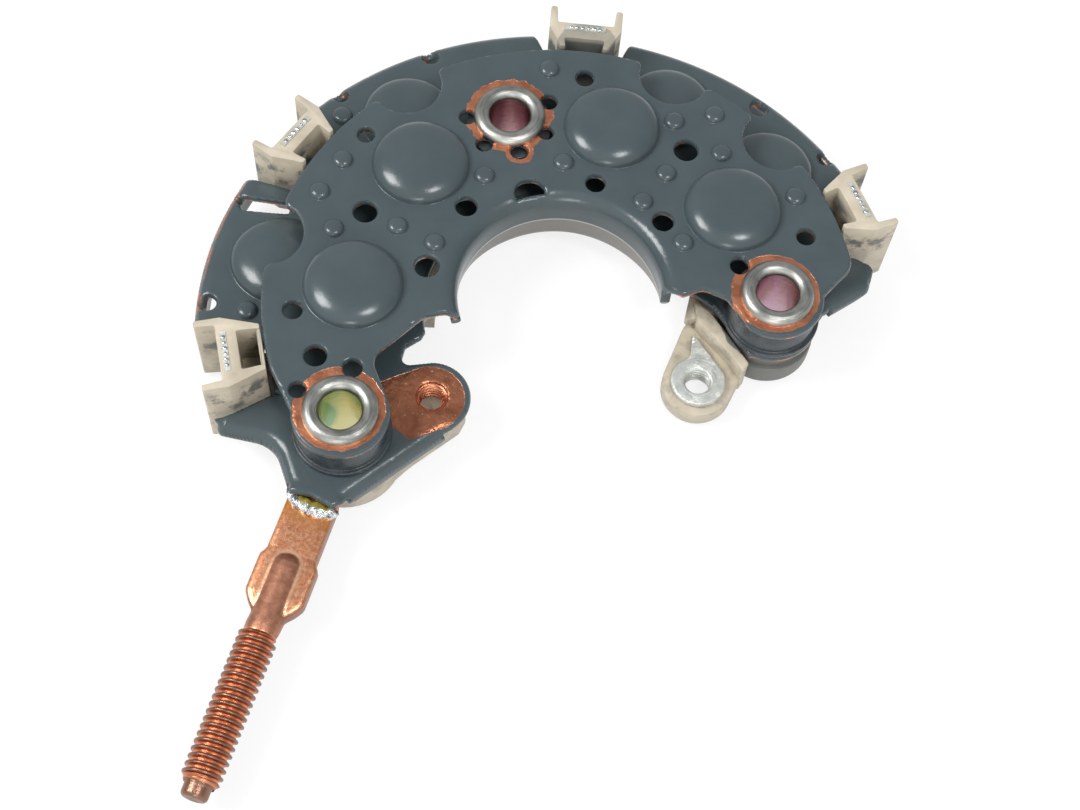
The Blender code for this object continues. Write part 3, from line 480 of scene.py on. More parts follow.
upper_loops += [circle(x, y, 4.4, 40) for x, y in RIVETS.values()]
print("upper plan:", len(upper_loops[0]), "points,", len(upper_loops) - 1, "holes")

# %% Plan of the lower plate
GUIDE_GAPS = {"left": (10.4, 7.6), "upper_left": (10.0, 8.0), "top": (8.0, 8.6), "right": (8.8, 10.0)}
LOWER_DOMES = [polar(47.3, angle) for angle in (172.6, 128.4, 71.4, 45.6)]


def swung(angle, shape):
    """Turn (distance out, distance sideways) pairs to an angle about the shaft."""
    turn = math.radians(angle)
    return [(out * math.cos(turn) - side * math.sin(turn), out * math.sin(turn) + side * math.cos(turn))
            for out, side in shape]


def guide_gap(angle, before, after):
    """The gap that a wire guide needs in the lower plate's edge."""
    out, rim = LOWER_RADIUS + 3.0, LOWER_RADIUS - 1.5
    return swung(angle, ((out, -before - 1.5), (rim, -before), (54.2, -6.7), (47.6, -4.5),
                         (47.6, 4.5), (54.2, 6.7), (rim, after), (out, after + 1.5)))


def lower_outline():
    """The plan of the lower plate, anticlockwise from the edge below the right rivet."""
    corners = arc(RIVETS["right"], 7.9, 252.0, 360.0)
    corners += [(44.2, 7.4, 1.5), (51.9, 13.4, 2.0), (52.3, 17.4, 1.6), (48.5, 19.0, 0.0)]
    corners += arc((0.0, 0.0), LOWER_RADIUS, 25.0, 192.0, 2.0)
    corners += [(-50.0, -12.0, 0.0), (-53.2, -23.4, 1.0), (-52.2, -26.0, 1.2), (-43.0, -26.9, 5.0),
                (-39.3, -34.9, 0.6), (-35.8, -35.4, 1.5), (-32.3, -37.0, 0.8), (-30.9, -36.0, 0.5)]
    corners += arc(TONGUE_HOLE, 6.3, -46.6, 95.0, 6.0)
    corners += [(-24.9, -10.9, 1.8), (-24.4, -7.4, 0.8), (-22.0, -5.4, 0.8)]
    corners += arc(BORE_CENTRE, LOWER_BORE, 197.0, 16.0)
    corners += [(25.5, 6.0, 0.0), (28.7, 2.3, 0.0), (31.9, -2.2, 0.8)]
    return rounded(corners)


RIM_HOLES = ((-57.3, -3.1, 2.8), (-41.6, 40.3, 2.6), (-27.3, 50.6, 3.0), (31.4, 47.3, 3.2), (43.3, 38.3, 2.8))
AIR_SLOT = ((-56.2, 17.6, 0.2), (-54.6, 15.1, 0.2), (-47.2, 15.5, 0.2), (-47.1, 17.4, 0.2))
LOWER_NUBS = ((-51.0, -4.0), (-40.8, 35.9))
lower_loops = [lower_outline()] + [guide_gap(angle, *GUIDE_GAPS[key]) for key, angle in GUIDES.items()]
lower_loops += [held(circle(x, y, size / 2), (0.0, 0.0), 0.0, LOWER_RADIUS - 0.25) for x, y, size in RIM_HOLES]
lower_loops += [rounded(AIR_SLOT), circle(*TONGUE_HOLE, 2.45, 40)]
lower_loops += [circle(x, y, 5.7, 40) for x, y in RIVETS.values()]
lower_loops += [circle(x, y, 1.6, 20) for x, y in UPPER_DOMES]
print("lower plan:", len(lower_loops[0]), "points,", len(lower_loops) - 1, "cuts")

# %% [markdown]
# ## Pressing a plate
# The real plate is one sheet: blanked, punched, then pressed so that its domes rise and its edges turn down.
# A Boolean of cylinders would leave knife edges, and a sculpted plane would lose the plan. So the blank is
# triangulated between its exact edges, with extra rings of points wherever the press bends it, and each point
# is then moved by the rule of the press: domes and nubs lift it, a bend turns it down, and the cut edge is
# rounded over, as thick paint leaves it.

# %% Plan tools


def inside(points, loop):
    """Which points lie inside a closed loop."""
    start = np.array(loop)
    end = np.roll(start, -1, axis=0)
    x, y = points[:, 0][:, None], points[:, 1][:, None]
    rise = end[:, 1] - start[:, 1]
    rise = np.where(np.abs(rise) < 1e-12, 1e-12, rise)
    spans = (start[:, 1] > y) != (end[:, 1] > y)
    left = x < (end[:, 0] - start[:, 0]) * (y - start[:, 1]) / rise + start[:, 0]
    return (spans & left).sum(axis=1) % 2 == 1


def on_sheet(points, loops):
    """Which points lie inside the first loop and outside all others."""
    keep = inside(points, loops[0])
    for loop in loops[1:]:
        keep &= ~inside(points, loop)
    return keep


def nearest(points, segments):
    """Distance to the nearest of some segments, the unit direction towards it, and its number."""
    best = np.full(len(points), 1e9)
    towards = np.zeros((len(points), 2))
    which = np.zeros(len(points), int)
    for number, (a, b) in enumerate(segments):
        along = b - a
        share = np.clip(((points - a) @ along) / (along @ along), 0, 1)
        gap = a + share[:, None] * along - points
        distance = np.hypot(gap[:, 0], gap[:, 1])
        closer = distance < best
        best[closer] = distance[closer]
        towards[closer] = gap[closer] / np.maximum(distance[closer], 1e-9)[:, None]
        which[closer] = number
    return best, towards, which


def triangulate(points, edges, loops):
    """Triangles of the sheet between its edges, and the points that they use."""
    result = geometry.delaunay_2d_cdt([Vector(point) for point in points], edges, [], 0, 1e-6)
    found = np.array([tuple(point) for point in result[0]])
    faces = np.array([face for face in result[2] if len(face) == 3])
    return found, faces[on_sheet(found[faces].mean(axis=1), loops)]


def open_edges(faces):
    """The directed edges that only one face uses."""
    seen = {}
    for face in faces:
        for a, b in zip(face, np.roll(face, -1)):
            seen[(int(a), int(b))] = True
    return [edge for edge in seen if (edge[1], edge[0]) not in seen]


print("plan tools ready")

# %% Points of the blank
EDGE_STEP = 0.7
EDGE_ROWS = (0.07, 0.22, 0.55, 1.0)
BEND_ROWS = (0, 18, 36, 54, 70)
GRID = 1.5
DOME_RINGS = (1.5, 3.0, 4.4, 5.5, 6.3, 6.9, 7.3, 7.6, 7.8, 7.95, 8.05, 8.13, 8.2, 8.3, 8.5, 8.8)
NUB_RINGS = (0.5, 0.9, 1.2, 1.4, 1.52, 1.6, 1.66, 1.72, 1.85, 2.1)


def split_border(loops, skirts):
    """The sheet's edge in short steps, and how deep a skirt hangs on each step."""
    raw, ties = [], []
    for loop in loops:
        first = len(raw)
        raw += loop
        ties += [(first + index, first + (index + 1) % len(loop)) for index in range(len(loop))]
    found, faces = triangulate(raw, ties, loops)
    border = []
    for a, b in open_edges(faces):
        steps = max(1, math.ceil(np.linalg.norm(found[b] - found[a]) / EDGE_STEP))
        chain = [found[a] + (found[b] - found[a]) * index / steps for index in range(steps + 1)]
        border += list(zip(chain[:-1], chain[1:]))
    middles = np.array([(a + b) / 2 for a, b in border])
    depths = np.zeros(len(border))
    for belongs, depth in skirts:
        chosen = belongs(middles)
        depths[chosen] = depth(middles)[chosen]
    return border, depths


def blank_points(loops, border, depths, bend, domes, nubs):
    """Rows of points along the edges, a grid between them, and rings round the domes and nubs."""
    points = []
    for (a, b), depth in zip(border, depths):
        along = (b - a) / np.linalg.norm(b - a)
        inward = np.array([-along[1], along[0]])
        rows = [bend * (1 - math.sin(math.radians(turn))) for turn in BEND_ROWS] if depth > 0 else EDGE_ROWS
        points += [(a + b) / 2 + inward * row for row in rows]
    low, high = np.array(loops[0]).min(axis=0), np.array(loops[0]).max(axis=0)
    for row, y in enumerate(np.arange(low[1], high[1], GRID * 0.866)):
        points += [np.array([x, y]) for x in np.arange(low[0] + GRID / 2 * (row % 2), high[0], GRID)]
    points = np.array(points)
    rings = []
    for places, clear, radii, count in ((domes, 9.3, DOME_RINGS, 64), (nubs, 2.4, NUB_RINGS, 20)):
        for x, y in places:
            points = points[np.hypot(points[:, 0] - x, points[:, 1] - y) > clear]
            rings.append((x, y))
            for radius in radii:
                rings += circle(x, y, radius, count)
    points = np.concatenate([points, np.array(rings).reshape(-1, 2)])
    points = points[on_sheet(points, loops)]
    return points[nearest(points, border)[0] > 0.055]


print("rows of points:", len(EDGE_ROWS), "at an edge,", len(BEND_ROWS), "at a bend")

# %% The rule of the press
FAR = 99.0
FOOT_FILLET = 0.45
WALL_ROWS = ((0.8, FAR), (0.6, FAR), (0.4, 1.0), (0.3, 0.55), (0.2, 0.22), (0.1, 0.07), (0.0, 0.0))


def dome_rise(distance, radius, height, power):
    """The height of a pressed dome over its sheet, with a small fillet at its foot."""
    body = height * np.sqrt(np.clip(1 - (distance / radius) ** power, 0, None))
    body = np.where(distance > radius, -3.0 * (distance - radius), body)
    return np.maximum(body, 0) + np.maximum(FOOT_FILLET - np.abs(body), 0) ** 2 / (4 * FOOT_FILLET)


def raised(plan, places, radius, height, power):
    """How far bumps at some places lift each point."""
    lift = np.zeros(len(plan))
    for x, y in places:
        distance = np.hypot(plan[:, 0] - x, plan[:, 1] - y)
        lift = np.maximum(lift, dome_rise(distance, radius, height, power))
    return lift


def towards_bend(plan, border, depths, bend):
    """Each point's distance to a bend, the way out over it, and the drop that is left below the bend."""
    bent = [pair for pair, depth in zip(border, depths) if depth > 0]
    if not bent:
        return np.full(len(plan), FAR), np.zeros((len(plan), 2)), np.full(len(plan), FAR)
    to_bend, towards, which = nearest(plan, bent)
    outwards = np.zeros((len(plan), 2))
    for a, b in bent:
        along = (b - a) / np.linalg.norm(b - a)
        for end in (a, b):
            outwards[np.hypot(*(plan - end).T) < 1e-5] += (along[1], -along[0])
    lengths = np.hypot(*outwards.T)
    on_edge = lengths > 0.1
    towards[on_edge] = outwards[on_edge] / lengths[on_edge][:, None]
    to_bend[on_edge] = 0.0
    return to_bend, towards, depths[depths > 0][which] - bend


def hang_skirts(plan, faces, skirts, bend, columns):
    """Add the upright walls below the bends to the point columns: skin, lining, normal and rounding."""
    depth_at, hung = {}, []
    for a, b in open_edges(faces):
        middle = ((plan[a] + plan[b]) / 2)[None, :]
        depth = next((depth for belongs, depth in skirts if belongs(middle)[0]), None)
        if depth is not None:
            hung.append((a, b))
            for end in (a, b):
                depth_at.setdefault(end, depth(plan[end][None, :])[0])
    top, _, normal, _ = columns
    wall = {}
    for index, depth in depth_at.items():
        drop = depth - bend
        direction = normal[index] * (1.0, 1.0, 0.0)
        direction /= max(np.linalg.norm(direction), 1e-9)
        wall[index] = [index] + [len(top) + row for row in range(len(WALL_ROWS))]
        for share, most in WALL_ROWS:
            left = min(drop * share, most)
            spot = top[index] - np.array([0, 0, drop - left])
            for column, value in zip(columns, (spot, spot, direction, left)):
                column.append(value)
    for a, b in hung:
        faces += [(wall[a][row], wall[a][row + 1], wall[b][row + 1], wall[b][row])
                  for row in range(len(WALL_ROWS))]


print("press rules ready")

# %% The press


def pressed_sheet(name, loops, top, bend, skirts, domes, nubs, edge_round=0.55):
    """A pressed plate from its plan loops.

    skirts is a list of (belongs, depth): two functions of points that say which edge points carry a skirt,
    and how far down from the top it reaches. domes and nubs are places of pressed bumps.
    """
    border, depths = split_border(loops, skirts)
    corners, edges = {}, []
    for pair in border:
        keys = [(round(point[0], 5), round(point[1], 5)) for point in pair]
        for key in keys:
            corners.setdefault(key, len(corners))
        edges.append(tuple(corners[key] for key in keys))
    points = blank_points(loops, border, depths, bend, domes, nubs)
    plan, faces = triangulate(list(corners) + [tuple(point) for point in points], edges, loops)

    free = [pair for pair, depth in zip(border, depths) if depth == 0]
    to_bend, towards, drop_left = towards_bend(plan, border, depths, bend)
    height = np.maximum(raised(plan, domes, 8.15, 2.85, 2.9), raised(plan, nubs, 1.72, 0.95, 3.2))
    under = raised(plan, domes, 7.0, 2.6, 3.2)
    reach = np.clip((bend - to_bend) / bend, 0, 1)
    sink = bend * (1 - np.sqrt(1 - reach ** 2))
    round_the_bend = bend * (math.pi / 2 - np.arcsin(reach)) + np.maximum(to_bend - bend, 0)
    columns = [list(np.column_stack([plan, top + height - sink])),
               list(np.column_stack([plan, top + under - sink])),
               list(np.column_stack([towards * reach[:, None], np.sqrt(1 - reach ** 2)])),
               list(np.minimum(nearest(plan, free)[0], round_the_bend + drop_left))]
    faces = [tuple(int(index) for index in face) for face in faces]
    hang_skirts(plan, faces, skirts, bend, columns)

    outside, lining, normal, rounding = (np.array(column) for column in columns)
    rounding = np.clip(rounding, 0, edge_round)
    shrink = edge_round - np.sqrt(edge_round ** 2 - (edge_round - rounding) ** 2)
    outer = outside - normal * shrink[:, None]
    inner = lining - normal * (SHEET - shrink)[:, None]
    total = len(outer)
    solid = faces + [tuple(index + total for index in reversed(face)) for face in faces]
    solid += [(b, a, a + total, b + total) for a, b in open_edges(faces)]
    made = piece(name, np.concatenate([outer, inner]), solid)
    cut = made.data.attributes.new("cut", "FLOAT", "POINT")
    cut.data.foreach_set("value", np.concatenate([np.zeros(total), np.clip(1.4 - rounding / 0.3, 0, 1)]))
    return made


print("press ready")

# %% Press the upper plate


def skirt_depth(points):
    """How deep the skirt round the shaft opening is: shallower towards its two ends."""
    share = np.clip((points[:, 1] + 6.0) / 26.0, 0, 1)
    return 3.9 + 6.8 * share ** 2 * (3 - 2 * share)


def on_bore(points):
    """Edge points on the circle of the shaft opening."""
    away = np.hypot(points[:, 0] - BORE_CENTRE[0], points[:, 1] - BORE_CENTRE[1])
    return np.abs(away - SKIRT_RADIUS) < 0.06


upper_plate = pressed_sheet("upper_plate_pressed", upper_loops, FLOOR_TO_UPPER, 2.8, [(on_bore, skirt_depth)],
                            UPPER_DOMES, UPPER_NUBS)
print("upper plate:", len(upper_plate.data.polygons), "faces")

# %% Press the lower plate
SKIRT_RUNS = (
    ((-53.0, -24.2), (-52.1, -25.9), (-45.4, -26.7), (-42.1, -28.5), (-40.2, -32.4), (-39.5, -34.2)),
    ((-30.2, -35.3), (-15.4, -21.2)),
    ((45.2, 7.9), (51.3, 12.9), (52.1, 15.4)),
)
RIM_DEPTH = 6.0


def on_rim(points):
    """Edge points on the round rim."""
    angle = np.degrees(np.arctan2(points[:, 1], points[:, 0])) % 360
    away = np.hypot(points[:, 0], points[:, 1])
    return (np.abs(away - LOWER_RADIUS) < 0.06) & (angle > 20.5) & (angle < 191.5)


def rim_depth(points):
    """The rim's skirt has one depth."""
    return np.full(len(points), RIM_DEPTH)


def on_wings(points):
    """Edge points along the turned edges of the wings and the tongue."""
    runs = [(np.array(a), np.array(b)) for run in SKIRT_RUNS for a, b in zip(run[:-1], run[1:])]
    ends = [np.array(point) for run in SKIRT_RUNS for point in (run[0], run[-1])]
    distance = nearest(points, runs)[0]
    away = np.min([np.hypot(*(points - end).T) for end in ends], axis=0)
    return (distance < 0.7) & (away > 0.7)


def wing_depth(points):
    """The wings' turned edges: a low lip at the left wing's point, and a full skirt towards the neck."""
    x, y = points[:, 0], points[:, 1]
    left = np.interp(x, (-53.0, -46.0, -41.5, -39.0), (2.4, 2.6, 3.4, 3.6))
    right = np.interp(x, (46.0, 50.0, 52.0), (3.4, 3.2, 2.4))
    middle = np.interp(x + y, (-66.0, -63.5, 0.0), (2.6, 4.0, 4.0))
    return np.where(x < -38.8, left, np.where(x > 40.0, right, middle))


lower_plate = pressed_sheet("lower_plate_pressed", lower_loops, FLOOR_TO_LOWER, 2.2,
                            [(on_rim, rim_depth), (on_wings, wing_depth)], LOWER_DOMES, LOWER_NUBS)
FLARE = ((85.0, 120.0, 170.0, 194.0, 200.0), (0.0, 0.3, 0.8, 0.6, 0.0))
for point in lower_plate.data.vertices:
    x, y = point.co.x / MM - SHIFT.x, point.co.y / MM - SHIFT.y
    away = math.hypot(x, y)
    flare = np.interp(math.degrees(math.atan2(y, x)) % 360, *FLARE)
    grow = flare * min(max((away - 52.0) / 7.0, 0.0), 1.0) / max(away, 1.0)
    point.co += Vector((x, y, 0.0)) * (grow * MM)
print("lower plate:", len(lower_plate.data.polygons), "faces")

# %% [markdown]
# ## Shared effects as node groups
# Several finishes share the same effects: patches where the paint was ground or masked away, fine grain from
# casting or brushing, and stray paint dust. Each is a small node group with named inputs, so that every
# material can place it with its own values. All of them read Object coordinates, turned into millimetres.

# %% Group helpers


def make_group(name, inputs, outputs):
    """A new shader node group with (name, kind, default) inputs and (name, kind) outputs."""
    made = bpy.data.node_groups.new(name, "ShaderNodeTree")
    for label, kind, default in inputs:
        socket = made.interface.new_socket(name=label, in_out="INPUT", socket_type=f"NodeSocket{kind}")
        if default is not None:
            socket.default_value = default
    for label, kind in outputs:
        made.interface.new_socket(name=label, in_out="OUTPUT", socket_type=f"NodeSocket{kind}")
    return made, made.nodes.new("NodeGroupInput"), made.nodes.new("NodeGroupOutput")


def use(tree, source, vector, **values):
    """Place a node group on a vector, with its own values."""
    made = tree.nodes.new("ShaderNodeGroup")
    made.node_tree = source
    wire(tree, vector, made.inputs["Place"])
    for key, value in values.items():
        made.inputs[key.replace("_", " ")].default_value = value
    return made


def flat_place(x, y):
    """A point of the shaft's plane, in the millimetres of Object coordinates."""
    return x + SHIFT.x, y + SHIFT.y, 0.0


# %% Bare patch: a disc or bar with a ragged rim
bare_patch, taken, given = make_group(
    "bare_patch",
    [("Place", "Vector", None), ("Start", "Vector", (0.0, 0.0, 0.0)), ("End", "Vector", (1.0, 0.0, 0.0)),
     ("Radius", "Float", 7.0), ("Ragged", "Float", 0.3), ("Scale", "Float", 0.6)],
    [("Mask", "Float"), ("Gap", "Float")])
start = taken.outputs["Start"]
flat = vector_math(bare_patch, "MULTIPLY", taken.outputs["Place"], (1.0, 1.0, 0.0))
bar = vector_math(bare_patch, "SUBTRACT", taken.outputs["End"], start)
lead = vector_math(bare_patch, "SUBTRACT", flat, start)
share = compute(bare_patch, "DIVIDE", vector_math(bare_patch, "DOT_PRODUCT", lead, bar),
                vector_math(bare_patch, "DOT_PRODUCT", bar, bar), clamp=True)
gap = vector_math(bare_patch, "DISTANCE", lead, vector_math(bare_patch, "SCALE", bar, share))
rough = compute(bare_patch, "SUBTRACT", noise(bare_patch, flat, taken.outputs["Scale"], 4.0, 0.5), 0.5)
over = compute(bare_patch, "SUBTRACT", gap, taken.outputs["Radius"])
over = compute(bare_patch, "ADD", over, product(bare_patch, rough, taken.outputs["Ragged"]))
edge = spread(bare_patch, over, -0.06, 0.06, 1.0, 0.0)
wire(bare_patch, edge, given.inputs["Mask"])
wire(bare_patch, over, given.inputs["Gap"])
print("group bare_patch:", len(bare_patch.nodes), "nodes")

# %% Fine grain: two sizes of noise for height, and one for tone
fine_grain, taken, given = make_group(
    "fine_grain",
    [("Place", "Vector", None), ("Coarse", "Float", 0.5), ("Fine", "Float", 6.0),
     ("Fine share", "Float", 0.5)],
    [("Height", "Float"), ("Tone", "Float")])
place = taken.outputs["Place"]
large = noise(fine_grain, place, taken.outputs["Coarse"], 2.0, 0.5)
small = noise(fine_grain, place, taken.outputs["Fine"], 3.0, 0.5)
mixed = add(fine_grain, "ShaderNodeMix")
for index, source in ((0, taken.outputs["Fine share"]), (2, large), (3, small)):
    wire(fine_grain, source, mixed.inputs[index])
wire(fine_grain, mixed, given.inputs["Height"])
wire(fine_grain, large, given.inputs["Tone"])
print("group fine_grain:", len(fine_grain.nodes), "nodes")

# %% Speckle: specks and smudges of stray paint, flux or dust
speckle, taken, given = make_group(
    "speckle",
    [("Place", "Vector", None), ("Size", "Float", 0.8), ("Level", "Float", 0.6), ("Softness", "Float", 0.05)],
    [("Mask", "Float")])
cloud = noise(speckle, taken.outputs["Place"], taken.outputs["Size"], 6.0, 0.65)
over = compute(speckle, "SUBTRACT", cloud, taken.outputs["Level"])
over = compute(speckle, "DIVIDE", over, taken.outputs["Softness"], clamp=True)
wire(speckle, over, given.inputs["Mask"])
print("group speckle:", len(speckle.nodes), "nodes")

# %% Turned marks: fine rings that a lathe or a press tool leaves round a centre
turned_marks, taken, given = make_group(
    "turned_marks",
    [("Place", "Vector", None), ("Centre", "Vector", (0.0, 0.0, 0.0)), ("Rings", "Float", 6.0)],
    [("Height", "Float"), ("Radius", "Float")])
around = taken.outputs["Rings"]
offset = vector_math(turned_marks, "SUBTRACT", taken.outputs["Place"], taken.outputs["Centre"])
axes = split(turned_marks, offset)
squares = [product(turned_marks, axes[axis], axes[axis]) for axis in ("X", "Y")]
radius = compute(turned_marks, "SQRT", compute(turned_marks, "ADD", *squares))
swept = combine(turned_marks, compute(turned_marks, "ARCTAN2", axes["Y"], axes["X"]),
                product(turned_marks, radius, around), product(turned_marks, axes["Z"], around))
wire(turned_marks, noise(turned_marks, swept, 1.0, 3.0, 0.6), given.inputs["Height"])
wire(turned_marks, radius, given.inputs["Radius"])
print("group turned_marks:", len(turned_marks.nodes), "nodes")


def start_material(name):
    """A material, its tree, its shader, and Object coordinates in millimetres."""
    made = bpy.data.materials.new(name)
    made.use_nodes = True
    tree = made.node_tree
    shader = tree.nodes["Principled BSDF"]
    where = add(tree, "ShaderNodeTexCoord")
    return made, tree, shader, vector_math(tree, "SCALE", where.outputs["Object"], 1.0 / MM)


def bump(tree, shader, height, distance, strength=1.0):
    """Feed a height in millimetres into the shader's normal."""
    made = add(tree, "ShaderNodeBump", in_Strength=strength, in_Distance=distance * MM)
    wire(tree, height, made.inputs["Height"])
    wire(tree, made, shader.inputs["Normal"])


def grained(name, sizes, tones, shine, depth, metallic=0.0):
    """A material whose fine grain shows in its tone, its roughness and its height.

    sizes are the two grains and the share of the finer, and shine is how roughness follows the grain.
    """
    made, tree, shader, vector = start_material(name)
    grain = use(tree, fine_grain, vector, Coarse=sizes[0], Fine=sizes[1], Fine_share=sizes[2])
    body = ramp(tree, grain.outputs["Tone"], tones)
    wire(tree, body, shader.inputs["Base Color"])
    shader.inputs["Metallic"].default_value = metallic
    wire(tree, compute(tree, "MULTIPLY_ADD", grain.outputs["Height"], *shine), shader.inputs["Roughness"])
    bump(tree, shader, grain.outputs["Height"], depth)
    return made, tree, shader, vector, body


# %% [markdown]
# ## Painted copper
# The plates are dipped in a thick blue grey paint that pools softly and shines like satin. Round each rivet
# and on the tongue the copper is bare: a mask picks paint or metal, and the same mask lowers the surface by
# the paint's thickness. Copper is bright where tools touched it, so a noise drives it from brown to orange.
# Low on the upper plate's skirt the paint is lightened as a painted reflection, with a painted highlight line
# along its top.

# %% Paint and bare copper
PAINT = srgb(64, 75, 78)
COPPER_DARK = srgb(186, 118, 88)
COPPER = srgb(226, 150, 114)
COPPER_BRIGHT = srgb(250, 208, 178)


def copper_colour(tree, vector, size, shade=1.0):
    """Even copper with broad tarnish and a few bright nicks."""
    stops = [(0.34, shaded(COPPER_DARK, shade)), (0.64, shaded(COPPER, shade))]
    tone = ramp(tree, noise(tree, vector, size * 0.3, 3.0, 0.5), stops)
    nicks = use(tree, speckle, vector, Size=size * 1.5, Level=0.63, Softness=0.05)
    return blend_colour(tree, nicks.outputs["Mask"], tone, COPPER_BRIGHT)


def worn_band(tree, value, low, high, vector, size, level):
    """A mask that fades in over a range of a value, broken up by specks."""
    specks = use(tree, speckle, vector, Size=size, Level=level, Softness=0.12)
    return product(tree, spread(tree, value, low, high), specks.outputs["Mask"])


def painted_plate(name, patches, level, rim=None, masked=None, painted_reflection_below=None):
    """Paint over copper, bare in the patches on top of the sheet, in its cut edges and along a worn rim.

    masked is a disc that a patch leaves painted. The last argument is a height below which the paint is
    lightened as a painted reflection, with a painted highlight line along that height.
    """
    made, tree, shader, vector = start_material(name)
    mask = 0.0
    for start, end, radius, ragged in patches:
        spot = use(tree, bare_patch, vector, Start=flat_place(*start), End=flat_place(*end), Radius=radius,
                   Ragged=ragged, Scale=0.7)
        mask = compute(tree, "MAXIMUM", mask, spot.outputs["Mask"])
    up = split(tree, vector)["Z"]
    mask = product(tree, mask, compute(tree, "GREATER_THAN", up, level - 0.5))
    if masked is not None:
        (x, y), radius = masked
        disc = use(tree, bare_patch, vector, Start=flat_place(x, y), End=flat_place(x + 0.1, y),
                   Radius=radius, Ragged=0.2, Scale=0.7)
        mask = product(tree, mask, compute(tree, "SUBTRACT", 1.0, disc.outputs["Mask"]))
    cut = add(tree, "ShaderNodeAttribute", attribute_name="cut")
    edges = worn_band(tree, cut.outputs["Fac"], 0.22, 0.40, vector, 0.4, 0.49)
    if rim is not None:
        turned = use(tree, turned_marks, vector, Centre=flat_place(0.0, 0.0))
        wear_and_highlight = worn_band(tree, turned.outputs["Radius"], rim - 0.35, rim - 0.05, vector, 0.25, 0.42)
        edges = compute(tree, "MAXIMUM", edges, product(tree, wear_and_highlight, 0.6))
    metal = compute(tree, "MAXIMUM", mask, edges)
    grain = use(tree, fine_grain, vector, Coarse=0.16, Fine=1.2, Fine_share=0.25)
    paint = ramp(tree, grain.outputs["Tone"], [(0.25, shaded(PAINT, 0.92)), (0.75, shaded(PAINT, 1.08))])
    # Painted reflection: below that height the paint is lightened to a warm grey, and a painted highlight line
    # runs along the height itself.
    if painted_reflection_below is not None:
        overspray_and_painted_light = spread(tree, up, painted_reflection_below + 0.1, painted_reflection_below - 0.1)
        paint = blend_colour(tree, overspray_and_painted_light, paint, srgb(112, 110, 105))
        gap = compute(tree, "ABSOLUTE", compute(tree, "SUBTRACT", up, painted_reflection_below))
        paint = blend_colour(tree, spread(tree, gap, 0.0, 0.25, 0.7, 0.0), paint, srgb(196, 195, 190))
    copper = copper_colour(tree, vector, 1.3, 0.68 if rim else 1.0)
    wire(tree, blend_colour(tree, metal, paint, copper), shader.inputs["Base Color"])
    wire(tree, product(tree, metal, 0.95), shader.inputs["Metallic"])
    wire(tree, compute(tree, "MULTIPLY_ADD", metal, 0.12, 0.22), shader.inputs["Roughness"])
    dents = product(tree, noise(tree, vector, 1.1, 2.0, 0.5), mask, 0.14)
    fine = product(tree, noise(tree, vector, 5.0, 2.0, 0.6), mask, 0.015)
    height = compute(tree, "ADD", product(tree, mask, -0.12), product(tree, grain.outputs["Height"], 0.08))
    bump(tree, shader, compute(tree, "ADD", height, compute(tree, "ADD", dents, fine)), 1.0)
    return made


rings = [((-32.7, -23.6), (-32.6, -23.5), 7.25, 0.8), ((34.7, 5.6), (34.8, 5.6), 7.2, 0.8),
         ((-12.0, 34.7), (-11.9, 34.7), 7.3, 2.0), ((-9.7, 27.4), (-9.2, 27.4), 2.1, 0.9)]
# The upper plate's skirt is lightened below 10.7 mm as a painted reflection, with a painted highlight line
# there.
upper_paint = painted_plate("painted_copper_upper", rings, FLOOR_TO_UPPER, painted_reflection_below=10.7)
tongue_pad = ((-19.3, -16.3), (-25.0, -19.4), 5.7, 0.3)
lower_paint = painted_plate("painted_copper_lower", [tongue_pad], FLOOR_TO_LOWER, LOWER_RADIUS,
                            ((-27.5, -30.0), 8.2))
dress(upper_plate, upper_paint, ["upper_plate"])
dress(lower_plate, lower_paint, ["lower_plate"])

# %% [markdown]
# ## Turned pieces
# Rivets and bushes are round, so each is a profile spun about its own axis. The rivet is a steel tube whose
# top is rolled over into a smooth crown; the bush below it is a plain distance ring with a thin foot.

# %% Lathe


def lathe(name, profile, centre=(0.0, 0.0), steps=72, closed=True):
    """Spin (radius, height) points about an upright axis."""
    turns = [360.0 * step / steps for step in range(steps)]
    rings = [[(*polar(r, turn, centre), z) for r, z in profile] for turn in turns]
    return skin(name, rings, around=True, closed=closed)


def softened(corners, radius, steps=3):
    """A profile with its corners rounded."""
    return rounded([(r, z, radius) for r, z in corners], 90.0 / steps)


def steel(name, bore_stops, seed, centre):
    """Plated steel, brushed round its axis, with coloured passivation down the bore."""
    made, tree, shader, vector = start_material(name)
    marks = use(tree, turned_marks, vector, Centre=flat_place(*centre), Rings=7.0)
    grain = use(tree, fine_grain, vector, Coarse=0.35, Fine=5.0, Fine_share=0.4)
    tone = compute(tree, "MULTIPLY_ADD", grain.outputs["Tone"], 0.5, compute(tree, "MULTIPLY", marks, 0.5))
    shine = ramp(tree, tone, [(0.36, srgb(132, 134, 130)), (0.60, srgb(190, 190, 184))])
    axes = split(tree, vector)
    shifted = vector_math(tree, "ADD", vector, (seed, seed, 0.0))
    across = compute(tree, "DIVIDE", compute(tree, "SUBTRACT", axes["X"], flat_place(*centre)[0]), 3.5)
    film = compute(tree, "MULTIPLY_ADD", noise(tree, shifted, 0.12, 0.0), 0.5, 0.24)
    film = compute(tree, "SUBTRACT", film, product(tree, across, across, 0.17))
    deep = spread(tree, axes["Z"], 16.6, 17.3, 1.0, 0.0)
    wire(tree, blend_colour(tree, deep, shine, ramp(tree, film, bore_stops)), shader.inputs["Base Color"])
    shader.inputs["Metallic"].default_value = 1.0
    wire(tree, compute(tree, "MULTIPLY_ADD", deep, -0.20, 0.36), shader.inputs["Roughness"])
    bump(tree, shader, marks.outputs["Height"], 0.04)
    return made


print("lathe and steel ready")

